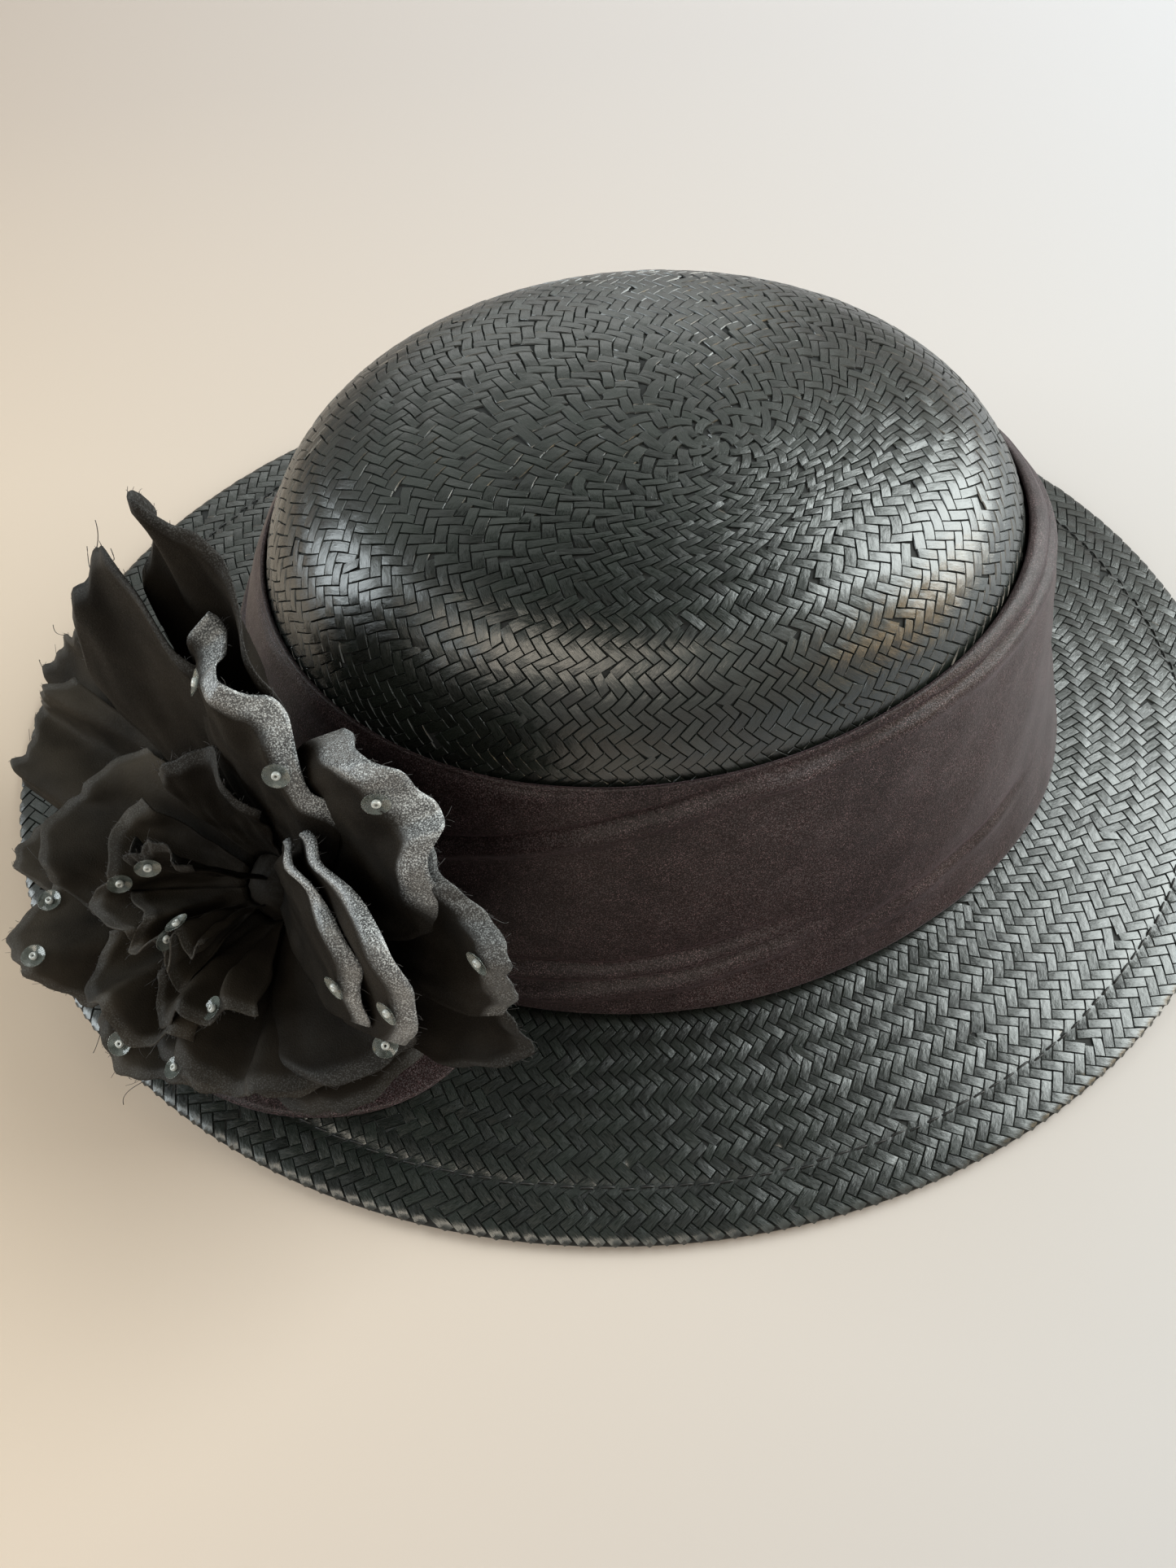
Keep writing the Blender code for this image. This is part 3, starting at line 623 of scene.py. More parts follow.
def petal_material():
    """Near-black satin whose rolled rims carry silvery specks under a painted highlight, and whose faces
    carry painted light and shade.
    """
    look = Look(bpy.data.materials.new("petal_satin"))
    place = look.place()
    rim = look.attribute("rim")
    # X of the rim marks: how strongly a rolled rim's painted highlight shows
    rolled = look.part(rim, "X")
    grain = look.noise(place, 2600.0, 2.0, 0.6)
    speckle = look.noise(place, 3200.0, 1.0, 0.6)
    cloud = look.noise(place, 60.0, 3.0)
    # Shaded and lit copies of the face colour; Y of the rim marks mixes in the painted light
    face_in_painted_shade = look.ramp(cloud, (0.3, (0.0050, 0.0041, 0.0033)), (0.7, (0.0150, 0.0122, 0.0095)))
    face_in_painted_light = look.ramp(cloud, (0.3, (0.0125, 0.0102, 0.0078)), (0.7, (0.0390, 0.0320, 0.0240)))
    face = look.mix(look.part(rim, "Y"), face_in_painted_shade, face_in_painted_light)
    # The rims' silvery specks, brightened into a painted highlight where X is high
    silver = look.ramp(
        speckle, (0.38, (0.035, 0.035, 0.038)), (0.52, (0.12, 0.125, 0.13)), (0.66, (0.55, 0.57, 0.58)))
    grit = look.span(speckle, 0.30, 0.55, 0.35, 0.65)
    return look.shade({
        "Base Color": look.mix(look.times(rolled, 0.75), face, silver),
        "Roughness": look.add(grit, look.span(rolled, 0.26, 0.0)),
        "Specular IOR Level": look.span(rolled, 0.08, 1.0),
        "Normal": cloth_normal(look, place, grain, 0.7),
    })


def hazy_material(name, scale, detail, low, high, roughness, **inputs):
    """One colour with a slow haze, which a pair of roughness values follows."""
    look = Look(bpy.data.materials.new(name))
    haze = look.noise(look.place(), scale, detail)
    if isinstance(roughness, tuple):
        roughness = look.span(haze, *roughness)
    look.shade({"Base Color": look.ramp(haze, (0.3, low), (0.7, high)), "Roughness": roughness})
    return look.shade({name.replace("_", " "): value for name, value in inputs.items()})


STRAW_OUTSIDE = straw_material("straw_outside", (0.0012, 0.0020, 0.0014), (0.0070, 0.0100, 0.0078), 0.28)
STRAW_INSIDE = straw_material("straw_inside", (0.008, 0.010, 0.009), (0.024, 0.028, 0.026), 0.46)
STRAW_BED = hazy_material("straw_bed", 900.0, 2.0, (0.004, 0.005, 0.005), (0.010, 0.011, 0.011), 0.8)
BAND_LOOK = band_material()
PETAL_LOOK = petal_material()
SEQUIN_LOOK = hazy_material(
    "sequin_clear", 500.0, 2.0, (0.10, 0.12, 0.11), (0.22, 0.25, 0.23), (0.10, 0.24),
    Alpha=0.34, Specular_IOR_Level=1.0, Coat_Weight=1.0, Coat_Roughness=0.06)
BEAD_LOOK = hazy_material(
    "seed_bead", 900.0, 2.0, (0.30, 0.31, 0.30), (0.5, 0.52, 0.5), (0.08, 0.2), Specular_IOR_Level=1.0)
THREAD_LOOK = hazy_material(
    "dark_thread", 3000.0, 1.0, (0.012, 0.0108, 0.0108), (0.02, 0.018, 0.018), 0.55)
STITCH_LOOK = hazy_material(
    "stitch_thread", 3000.0, 1.0, (0.0024, 0.0024, 0.0024), (0.004, 0.004, 0.004), 0.55)


# Surfaces of the straw body

Profile = namedtuple("Profile", "length long short z lattice")


def make_profile(points, by_radius=False):
    """An oval surface's outline; lattice is the distance from the middle that its weave counts."""
    long_radius, short_radius, z = np.array(points, dtype=float).T
    steps = np.hypot(np.diff(long_radius), np.diff(z))
    length = np.concatenate(([0.0], np.cumsum(steps)))
    return Profile(length, long_radius, short_radius, z, long_radius if by_radius else length)


def crown_outline(dome_steps, shoulder_steps, wall_steps):
    """(half-length, half-width, height over the floor) from the middle of the top down."""
    start = radians(DOME_ANGLE)
    end = pi / 2 - radians(WALL_LEAN)
    lean = tan(radians(WALL_LEAN))
    shoulder_height = SHOULDER_RADIUS * (cos(start) - cos(end))
    shoulder_reach = SHOULDER_RADIUS * (sin(end) - sin(start))
    reach = CROWN_LONG - shoulder_reach - lean * (CROWN_HEIGHT - shoulder_height)
    dome_edge = reach / (1 - lean * tan(start / 2))
    dome_radius = dome_edge / sin(start)
    rows = []
    for slope in np.linspace(0.0, start, dome_steps + 1):
        rows.append((dome_radius * sin(slope), CROWN_HEIGHT - dome_radius * (1 - cos(slope))))
    edge_height = rows[-1][1]
    for slope in np.linspace(start, end, shoulder_steps + 1)[1:]:
        radius = dome_edge + SHOULDER_RADIUS * (sin(slope) - sin(start))
        rows.append((radius, edge_height - SHOULDER_RADIUS * (cos(start) - cos(slope))))
    wall_radius, wall_height = rows[-1]
    for height in np.linspace(wall_height, COLLAR + SEAM_GAP, wall_steps + 1)[1:]:
        rows.append((wall_radius + (wall_height - height) * lean, height))
    return [(radius, radius * CROWN_SHORT / CROWN_LONG, height + BRIM_RISE) for radius, height in rows]


def brim_top(across):
    """The height of the brim's upper face at a share of its width."""
    return HEM_THICKNESS + (BRIM_RISE + STRAW - HEM_THICKNESS) * (1 - across ** BRIM_FALL)


def brim_point(across, height):
    long_radius = CROWN_LONG + (BRIM_LONG - CROWN_LONG) * across
    short_radius = CROWN_SHORT + (BRIM_SHORT - CROWN_SHORT) * across
    return long_radius, short_radius, height


def brim_top_outline():
    """From the crown's base over the brim and round its edge."""
    width = BRIM_LONG - CROWN_LONG
    turn_radius = 0.5 * HEM_THICKNESS
    last = 1 - turn_radius / width
    rows = [brim_point(share, brim_top(share)) for share in np.linspace(0.0, last, TOP_STEPS)]
    middle = brim_top(last) - turn_radius
    for turn in np.linspace(0.0, pi, 13)[1:]:
        out = (turn_radius - FLOAT_RISE) * sin(turn) / width
        height = middle + turn_radius * cos(turn)
        rows.append(brim_point(last + out, max(height, FLOOR_GAP)))
    return rows


def brim_under_outline():
    """From the edge inwards below the brim, up over the end of the turned hem, to the crown."""
    width = BRIM_LONG - CROWN_LONG
    hem = 1 - HEM_WIDTH / width
    rest = 1 - REST_RING / width
    rows = [brim_point(share, FLOOR_GAP) for share in np.linspace(1 - 1.6 / width, rest, 8)]
    for share in np.linspace(rest, hem, 16)[1:]:
        rows.append(brim_point(share, max(FLOOR_GAP, brim_top(share) - HEM_THICKNESS)))
    rows.append(brim_point(hem - 0.012, brim_top(hem) - STRAW - 0.3))
    for share in np.linspace(hem - 0.02, 0.0, 40):
        rows.append(brim_point(share, brim_top(share) - STRAW))
    return rows


CROWN = make_profile(crown_outline(40, 40, 30))
BRIM_TOP = make_profile(brim_top_outline(), by_radius=True)
BRIM_UNDER = make_profile(brim_under_outline(), by_radius=True)

# Where the hem's stitch line lies along the brim's top, from the crown's base
STITCH_LINE = float(np.interp(
    BRIM_LONG - STITCH_FROM_EDGE, BRIM_TOP.long[:TOP_STEPS], BRIM_TOP.length[:TOP_STEPS]))


def surface(profile, theta, s):
    """Places on an oval surface and its outward directions, at angles and distances along it."""
    measures = (profile.long, profile.short, profile.z)
    long_radius, short_radius, z = (np.interp(s, profile.length, values) for values in measures)
    slopes = [np.interp(s, profile.length, np.gradient(values, profile.length)) for values in measures]
    along = oval_places(*slopes, theta)
    round_it = oval_places(short_radius, np.maximum(long_radius, 0.5), 0.0, theta)
    normal = unit(np.cross(along, np.stack([-round_it[..., 1], round_it[..., 0], 0 * z], axis=-1)))
    return oval_places(long_radius, short_radius, z, theta), normal


def crown_surface(profile, theta, s):
    """The crown, with the middle of its weave a little off the middle of its top."""
    place, normal = surface(profile, theta, s)
    weight = np.clip(1 - (s / CENTRE_REACH) ** 2, 0.0, 1.0) ** 2
    x = place[..., 0] + CENTRE_X * weight
    y = place[..., 1] + CENTRE_Y * weight
    reach = np.hypot(x, y * CROWN_LONG / CROWN_SHORT)
    z = np.where(weight > 0, np.interp(reach, profile.long, profile.z), place[..., 2])
    return np.stack([x, y, z], axis=-1), normal


def crown_inside(profile, theta, s):
    place, normal = crown_surface(profile, theta, s)
    return place - normal * STRAW, -normal


# The weave

def insertions(pattern):
    """Where strands join the weave, as complex numbers in the plane that it unrolls on."""
    distances, strands = np.array(pattern.counts).T
    numbers = np.arange(strands[0], strands[-1]) + 0.5
    reach = np.interp(numbers, strands, distances)
    return reach * np.exp(1j * (GOLDEN_ANGLE * np.arange(len(numbers)) + pattern.phase))


def ring_places(joins, core, distance, shift):
    """The angles of one row's floats, a whole number of strands apart."""
    angle = np.linspace(0.0, 2 * pi, RING_STEPS + 1)
    place = distance * np.exp(1j * angle)
    turns = np.unwrap(np.angle(place[:, None] - joins[None, :]), axis=0).sum(axis=1)
    turns = (turns + core * angle) / (2 * pi)
    turns = np.maximum.accumulate(turns) + 1e-7 * np.arange(RING_STEPS + 1)
    first = int(np.ceil(turns[0] - shift))
    last = int(np.ceil(turns[-1] - shift - 1e-3))
    return np.interp(np.arange(first, last) + shift, turns, angle)


def strand_gradient(joins, core, distance, angle):
    """How fast the strand count rises with the angle and with the distance."""
    direction = np.exp(1j * angle)[:, None]
    apart = distance * direction - joins[None, :]
    turning = ((distance * direction / apart).real.sum(axis=1) + core) / (2 * pi)
    return turning, (direction / apart).imag.sum(axis=1) / (2 * pi)


Float = namedtuple("Float", "angle row turning rising slant")


def weave_floats(profile, pattern, rows):
    """One entry for each visible float of the weave."""
    joins = insertions(pattern)
    core = pattern.counts[0].strands
    slope = np.gradient(profile.lattice, profile.length)
    found = []
    for row in range(rows):
        slant = 1.0 if row % 2 == 0 else -1.0
        s = pattern.row_height * (row + 0.25)
        distance = float(np.interp(s, profile.length, profile.lattice))
        angles = ring_places(joins, core, distance, 0.5 + 0.25 * slant)
        if len(angles) == 0:
            continue
        turning, rising = strand_gradient(joins, core, distance, angles)
        mean = len(angles) / (2 * pi)
        turning = np.clip(turning, SPACING_LEAST * mean, SPACING_MOST * mean)
        rising = rising * float(np.interp(s, profile.length, slope)) * pattern.row_height
        rising = np.clip(rising, -SLANT_MOST, SLANT_MOST)
        found.append(np.stack(np.broadcast_arrays(angles, row + 0.25, turning, rising, slant)))
    return Float(*np.concatenate(found, axis=1)[:, :, None])


def float_pattern(grid):
    """The grid of one float: its places along and across, and its height above the bed."""
    p, q = (values.ravel() for values in np.meshgrid(*grid, indexing="ij"))
    height = FLOAT_RISE - FLOAT_SAG * np.abs(p) ** 2.2 + FLOAT_CROWN * (1 - q * q)
    edge = (np.abs(p) > 0.999) | (np.abs(q) > 0.999)
    return p, q, np.where(edge, FLOAT_EDGE, height), edge


def row_wander(theta, s, reach):
    """Slow wandering of the rows in millimetres, nothing near the ends of the surface."""
    fade = smooth_step((s - 6.0) / 20.0) * smooth_step((reach - s - 5.0) / 14.0)
    return WANDER * summed(ROW_WAVES, theta, s) * fade


def weave_mesh(name, profile, place_on, pattern, rows, grid, seed, reach, relief=np.zeros_like, flip=False):
    """All floats of one woven surface as pillowed strands, with their own directions kept."""
    rng = np.random.default_rng(seed)
    floats = weave_floats(profile, pattern, rows)
    count = len(floats.angle)
    p, q, height, edge = float_pattern(grid)
    width = STRAND_WIDTH + (1 - STRAND_WIDTH) * rng.random((count, 1))
    columns = 0.5 * p * floats.slant + 0.25 * q * width
    rows = 0.5 * p - 0.25 * q * width * floats.slant
    tone = rng.random((count, 1))
    tilt_along = rng.normal(0.0, FLOAT_TILT, (count, 1))
    tilt_across = rng.normal(0.0, FLOAT_TILT, (count, 1))
    lift = rng.normal(0.0, FLOAT_LIFT, (count, 1))
    heights = height + np.where(edge, 0.0, lift + tilt_along * p + tilt_across * q)
    angle = floats.angle + (columns - floats.rising * rows) / floats.turning
    s = np.maximum(pattern.row_height * (floats.row + rows), 0.0)
    theta = angle + OVAL_WARP * np.sin(2 * angle)
    place, normal = place_on(profile, theta, s + row_wander(theta, s, reach))
    place = place + normal * (heights + relief(s))[..., None]
    faces = grid_faces(len(grid[0]), len(grid[1]), flip=flip)
    faces = (faces[None, :, :] + (np.arange(count) * len(p))[:, None, None]).reshape(-1, 4)
    obj = mesh_object(name, place, faces)
    obj.data.set_sharp_from_angle(angle=radians(STRAND_SHARP))
    along = p * pattern.row_height * 0.7 + 40 * rng.random((count, 1))
    across = q * pattern.row_height * 0.35 + 40 * rng.random((count, 1))
    add_vectors(obj, "strand", np.stack(np.broadcast_arrays(along, across, tone), axis=-1))
    return obj


# Crown and brim

def inset(rings, depth):
    return [(a - depth, b - depth, z - depth) for a, b, z in rings]


def crown_bed():
    """A thin bed between the crown's two weaves, down its outside and up its inside."""
    outside = inset(crown_outline(14, 18, 12)[1:], BED_DEPTH)
    inside = inset(outside, STRAW - 2 * BED_DEPTH)
    inside[-1] = (*inside[-1][:2], outside[-1][2])
    top = CROWN_HEIGHT + BRIM_RISE
    ends = [(0.0, 0.0, top - BED_DEPTH), (0.0, 0.0, top - STRAW + BED_DEPTH)]
    return closed_shell("crown_bed", oval_rings(outside + inside[::-1]), ends)


def build_crown():
    row, reach = CROWN_PATTERN.row_height, CROWN.length[-1]
    outer = weave_mesh(
        "crown_weave", CROWN, crown_surface, CROWN_PATTERN, int(CROWN_VISIBLE / row), FINE, 11, reach)
    finish_piece(crown_bed(), STRAW_BED)
    finish_piece(outer, STRAW_OUTSIDE, ["crown"])
    inner = weave_mesh(
        "crown_inside_weave", CROWN, crown_inside, CROWN_PATTERN, int((reach - 2.0) / row), PLAIN, 12,
        reach, flip=True)
    finish_piece(inner, STRAW_INSIDE)


def hem_relief(s):
    """The shallow groove that the stitch line pulls into the brim."""
    return -GROOVE_DEPTH * np.exp(-((s - STITCH_LINE) / GROOVE_WIDTH) ** 2)


def brim_bed():
    """A thin bed between the brim's two weaves, with the collar that the crown stands on."""
    collar_top = BRIM_RISE + COLLAR
    rings = [(CROWN_LONG - 1.0, CROWN_SHORT - 1.0, collar_top), (CROWN_LONG, CROWN_SHORT, BRIM_RISE + 3.6)]
    rings += [(a, b, z - BED_DEPTH) for a, b, z in brim_top_outline()[2:TOP_STEPS:3]]
    for share in (0.60, 0.42):
        rings.append((BRIM_LONG - BED_EDGE, BRIM_SHORT - BED_EDGE, share * HEM_THICKNESS))
    rings += [(a, b, z + BED_DEPTH) for a, b, z in brim_under_outline()[2:-2:3]]
    for inwards, z in ((0.4, BRIM_RISE + BED_DEPTH), (STRAW, BRIM_RISE + 2.4), (1.0 + STRAW, collar_top)):
        rings.append((CROWN_LONG - inwards, CROWN_SHORT - inwards, z))
    faces = grid_faces(len(rings), SHELL_SEGMENTS, wrap_columns=True)
    return mesh_object("brim_bed", oval_rings(rings), faces)


def hem_stitches():
    rng = np.random.default_rng(5)
    share = np.linspace(-1.0, 1.0, STITCH_POINTS)
    rise = 0.22 - 0.6 * np.abs(share) ** 3
    paths = []
    for k in range(STITCH_COUNT):
        middle = 2 * pi * (k + 0.15 * rng.random()) / STITCH_COUNT
        turn = middle + STITCH_SPAN * share * 2 * pi / STITCH_COUNT
        place, normal = surface(BRIM_TOP, turn, np.full(STITCH_POINTS, STITCH_LINE + 0.25 * rng.normal()))
        paths.append(place + normal * rise[:, None])
    return tubes_object("hem_stitches", paths, [STITCH_RADIUS] * STITCH_COUNT, STITCH_SIDES)


def build_brim():
    rows = int(BRIM_TOP.length[-1] / BRIM_PATTERN.row_height)
    top = weave_mesh(
        "brim_weave", BRIM_TOP, surface, BRIM_PATTERN, rows, FINE, 21, STITCH_LINE, hem_relief)
    finish_piece(top, STRAW_OUTSIDE, ["brim"])
    reach = BRIM_UNDER.length[-1]
    rows = int(reach / BRIM_PATTERN.row_height) + 1
    under = weave_mesh("brim_under_weave", BRIM_UNDER, surface, BRIM_PATTERN, rows, PLAIN, 22, reach)
    finish_piece(under, STRAW_INSIDE)
    finish_piece(brim_bed(), STRAW_BED)
    finish_piece(hem_stitches(), STITCH_LOOK)


# Band

def crown_ring(z, offset):
    """Half-length and half-width of a ring that stands off the crown at a height."""
    long_radius = np.interp(-z, -CROWN.z, CROWN.long)
    return long_radius + offset, long_radius * CROWN_SHORT / CROWN_LONG + offset


def pleat_push(pleat, angle, z):
    """How far a pleat moves the band's face in or out at angles and heights."""
    angles, heights = np.array(pleat.path, dtype=float).T
    turned = (angle - angles[0] + 60.0) % 360.0 + angles[0] - 60.0
    above = z - np.interp(turned, angles, heights)
    fade = smooth_step((turned - angles[0]) / PLEAT_FADE) * smooth_step((angles[-1] - turned) / PLEAT_FADE)
    width = np.where(above < 0, 0.6 * pleat.width, pleat.width)
    rising = np.maximum(above, 0.0)
    push = -pleat.depth * np.exp(-(above / width) ** 2)
    push = push - pleat.back * (1 - np.exp(-(rising / pleat.width) ** 2)) * np.exp(-rising / pleat.reach)
    push = push + pleat.lip * np.exp(-((above + 2.4) / 2.0) ** 2)
    return fade * push


def band_points():
    """The band's outer face, in rows round the crown from its foot to its top edge."""
    around = np.linspace(0.0, 360.0, BAND_SEGMENTS, endpoint=False)
    angle, share = np.meshgrid(around, np.linspace(0.0, 1.0, BAND_ROWS))
    turn = np.radians(angle)
    foot = brim_top(BAND_FOOT_SHARE) + LAID_GAP
    top = BAND_TOP_LOW + BAND_TOP_RISE * bell(angle, BAND_TOP_DIRECTION, BAND_TOP_SPREAD)
    z = foot + (top - foot) * share
    slack = BAND_FOOT_OUT * bell(angle, BAND_OUT_DIRECTION, BAND_OUT_SPREAD)
    heights, offsets, outs = np.array(STANDS).T
    offset = np.interp(share, heights, offsets) + np.interp(share, heights, outs) * slack
    push = summed(DRAPE_WAVES, turn, z) + sum(pleat_push(pleat, angle, z) for pleat in PLEATS)
    inside_edges = smooth_step(share / 0.08) * smooth_step((1 - share) / 0.03)
    long_radius, short_radius = crown_ring(z, np.maximum(offset + push * inside_edges, BAND_LEAST))
    return oval_places(long_radius, short_radius, z, turn)


def build_band():
    points = band_points()
    faces = grid_faces(BAND_ROWS, BAND_SEGMENTS, wrap_columns=True, flip=True)
    obj = mesh_object("band_drape", points, faces)
    thicken(obj, BAND_CLOTH, -1.0)
    finish_piece(obj, BAND_LOOK, ["band"])


def declare_cut(points):
    """Measures a sheet cut to an outline, in the smallest rectangle that holds it: its width, length and
    area, which nothing uses.
    """
    width = float(np.linalg.norm(np.diff(points, axis=1), axis=-1).sum(axis=1).max()) * MM
    length = float(np.linalg.norm(np.diff(points, axis=0), axis=-1).sum(axis=0).max()) * MM
    first = points[1:, :-1] - points[:-1, :-1]
    second = points[:-1, 1:] - points[:-1, :-1]
    area = float(np.linalg.norm(np.cross(first, second), axis=-1).sum()) * MM * MM
    area = min(max(area, 0.31 * width * length), width * length)


# Flower

def backing_offset(lift, reach):
    return BAND_FOOT + CORNER_SLACK + lift - BACKING_LEAN * reach


def backing_points():
    """An oval of cloth that lies on the brim and, past the corner at reach 0, up the band."""
    share = 2.0 * np.arange(BACKING_ROWS + 1) / BACKING_ROWS - 1.0
    side = BACKING_SIDE * (2.0 * np.arange(BACKING_COLUMNS + 1) / BACKING_COLUMNS - 1.0)
    share, side = np.meshgrid(share, side, indexing="ij")
    reach = share * np.sqrt(1 - side * side) * np.where(share < 0, BACKING_REACH_OUT, BACKING_REACH_UP)
    lift = CLOTH_GAP + 0.5 * CLOTH + summed(BACKING_WAVES, side, share) * np.minimum(1.0, np.abs(share) * 2)
    out = np.maximum(backing_offset(lift, 0.0) - reach, 0.0)
    on_brim = CROWN_LONG + out, CROWN_SHORT + out, brim_top(out / (BRIM_LONG - CROWN_LONG)) + lift
    height = brim_top(0.0) + LAID_GAP + lift + reach
    up_band = *crown_ring(height, backing_offset(lift, reach)), height
    measures = [np.where(reach > 0, above, below) for above, below in zip(up_band, on_brim)]
    return oval_places(*measures, np.radians(BACKING_DIRECTION + side * BACKING_HALF_ANGLE))


def build_backing():
    points = backing_points()
    obj = mesh_object("flower_backing_cloth", points, grid_faces(BACKING_ROWS + 1, BACKING_COLUMNS + 1))
    thicken(obj, BACKING_CLOTH)
    finish_piece(obj, BAND_LOOK, ["flower_backing"])
    declare_cut(points)


def flower_axes():
    """The flower's axis, the level direction across it, and the upward one."""
    azimuth, elevation = radians(AXIS_AZIMUTH), radians(AXIS_ELEVATION)
    axis = Vector((cos(azimuth) * cos(elevation), sin(azimuth) * cos(elevation), sin(elevation)))
    level = Vector((sin(azimuth), -cos(azimuth), 0.0))
    return np.array(axis), np.array(level), np.array(level.cross(axis))


AXIS, LEVEL_SIDE, UPWARD = flower_axes()


def flower_places(radius, direction, height):
    """Places at distances from the flower's axis, in directions round it and heights along it."""
    sideways = LEVEL_SIDE * (radius * np.cos(direction))[..., None]
    sideways = sideways + UPWARD * (radius * np.sin(direction))[..., None]
    return np.array(FLOWER_SEAT) + sideways + AXIS * np.asarray(height)[..., None]


def plane_limit(along, across, slope):
    size = np.hypot(along, across)
    return np.arccos(np.clip(-slope / size, -1.0, 1.0)) - np.arctan2(across, along)


def open_squeeze(direction):
    """How far petals are closed in a direction by the brim below, the crown behind or the fabric."""
    rise, run = sin(radians(AXIS_ELEVATION)), cos(radians(AXIS_ELEVATION))
    floor = plane_limit(rise, -run * np.sin(direction), FLOOR_SLOPE)
    wall = plane_limit(run, rise * np.sin(direction), WALL_SLOPE)
    total = np.exp(-LIMIT_SHARPNESS * floor) + np.exp(-LIMIT_SHARPNESS * wall)
    total = total + exp(-LIMIT_SHARPNESS * radians(OPEN_MAX))
    return -np.log(total) / LIMIT_SHARPNESS / radians(OPEN_REFERENCE)


def petal_opening(petal, along):
    """Angle from the flower's axis at a share of the petal's length."""
    rim = np.maximum(0.0, (along - 0.7) / 0.3)
    opening = LEVELS[petal.level].opening + petal.flare * along + petal.curl * rim * rim
    return np.radians(opening - petal.cup * smooth_step(along / 0.9))


def petal_section(petal, along, outline, squeeze, lip, hem):
    """Distance from the axis and height along a petal, its rim rolled back by lip over hem."""
    radius = LEVELS[petal.level].gather + np.zeros_like(along)
    height = -LEVELS[petal.level].depth + np.zeros_like(along)
    step = along / SECTION_STEPS
    for i in range(SECTION_STEPS):
        place = (i + 0.5) * step
        rolled = smooth_step((place - outline + hem) / (LIP_BEND * hem))
        opening = petal_opening(petal, place) * squeeze + np.radians(lip) * rolled
        radius = radius + np.sin(opening) * step * petal.length
        height = height + np.cos(opening) * step * petal.length
    return radius, height


def petal_half_width(petal, along):
    swell = np.sin(0.5 * pi * np.minimum(1.0, along / 0.62))
    return 0.5 * petal.width * (0.16 + 0.84 * swell)


def sector_folds(direction, reach):
    """Deep folds that run out from the heart, shared by all petals of the flower's lower side."""
    away = (direction - radians(FOLD_DIRECTION) + pi) % (2 * pi) - pi
    share = smooth_step((radians(FOLD_SECTOR) - np.abs(away)) / radians(FOLD_FADE))
    fold = np.sin(FOLD_COUNT * direction + FOLD_PHASE + FOLD_SWIRL * reach)
    return FOLD_DEPTH * share * smooth_step(reach / 0.75) * fold


def petal_tilt(petal, across, reach):
    """Raises the petal's earlier side over its neighbour and rolls that side's edge back."""
    raised = -petal.tilt * (0.5 - 0.5 * across) ** 1.3 * np.sin(0.5 * pi * np.minimum(1.0, reach / 0.7))
    return raised + 0.55 * petal.tilt * smooth_step((-across - 0.72) / 0.28) * smooth_step(reach / 0.5)


def petal_push(petal, along, reach, across, direction, phase):
    """How far the cloth is pushed backwards from the petal's plain shape."""
    push = petal.ruffle * reach ** 2 * np.sin(pi * petal.waves * across + petal.phase)
    push = push - petal.fold * (1 - np.abs(across)) * np.sin(0.9 * pi * reach)
    push = push + SHARED_WAVE * reach ** 2 * np.sin(SHARED_WAVES * direction + 0.2 * petal.level)
    push = push + sector_folds(direction, reach) + petal_tilt(petal, across, reach)
    edge = smooth_step((np.abs(across) - 0.7) / 0.3) * smooth_step((along - 0.35) / 0.4)
    push = push + 0.04 * petal.lip * edge
    waves = (Wave(1, pi * RIM_WAVES, 0, phase[0]), Wave(0.4, pi * 1.8 * RIM_WAVES, 0, phase[1]))
    push = push + RIM_WAVE * summed(waves, across) * smooth_step((along - 0.5) / 0.5) ** 2
    crinkle = np.sin(9 * across + 5 * along + phase[2]) * np.sin(13 * along - 4 * across + phase[3])
    crinkle = crinkle + 0.45 * np.sin(17 * across - 9 * along + phase[4]) * np.sin(21 * along + phase[5])
    return push + CRINKLE * crinkle * smooth_step(along / 0.3)


def petal_alongs():
    """Shares of a petal's length, closer together towards its rim."""
    return np.linspace(0.0, 1.0, PETAL_ROWS) ** 0.75


def petal_grid(petal, seed):
    """The points of a petal, in rows across it from its foot to its rim."""
    along, across = np.meshgrid(petal_alongs(), np.linspace(-1.0, 1.0, PETAL_COLUMNS), indexing="ij")
    phase = np.random.default_rng(seed).random(8) * 2 * pi
    middle = radians(petal.direction)
    away = np.abs(across - petal.lean) / (1 + abs(petal.lean))
    uneven = summed((Wave(1, 4, 0, phase[5]), Wave(0.6, 9, 0, phase[6]), Wave(0.3, 23, 0, phase[7])), across)
    outline = (1 - petal.tip * away ** petal.power) * (1 + OUTLINE_WAVE * uneven)
    reach = along * outline
    wave = np.sin(LIP_WAVES * pi * across + phase[7])
    lip = petal.lip * (0.85 + 0.15 * wave)
    hem = petal.hem / petal.length * (1 + petal.swell * across) * (1 + 0.25 * wave)
    squeeze = open_squeeze(np.full_like(reach, middle))
    middle_radius, _ = petal_section(petal, reach, outline, squeeze, 0.0, hem)
    turn = np.minimum(TURN_MAX, petal_half_width(petal, reach) / middle_radius)
    direction = middle + across * turn
    squeeze = open_squeeze(direction)
    radius, height = petal_section(petal, reach, outline, squeeze, lip, hem)
    opening = petal_opening(petal, reach) * squeeze
    push = petal_push(petal, along, reach, across, direction, phase)
    return flower_places(radius + push * np.cos(opening), direction, height - push * np.sin(opening))


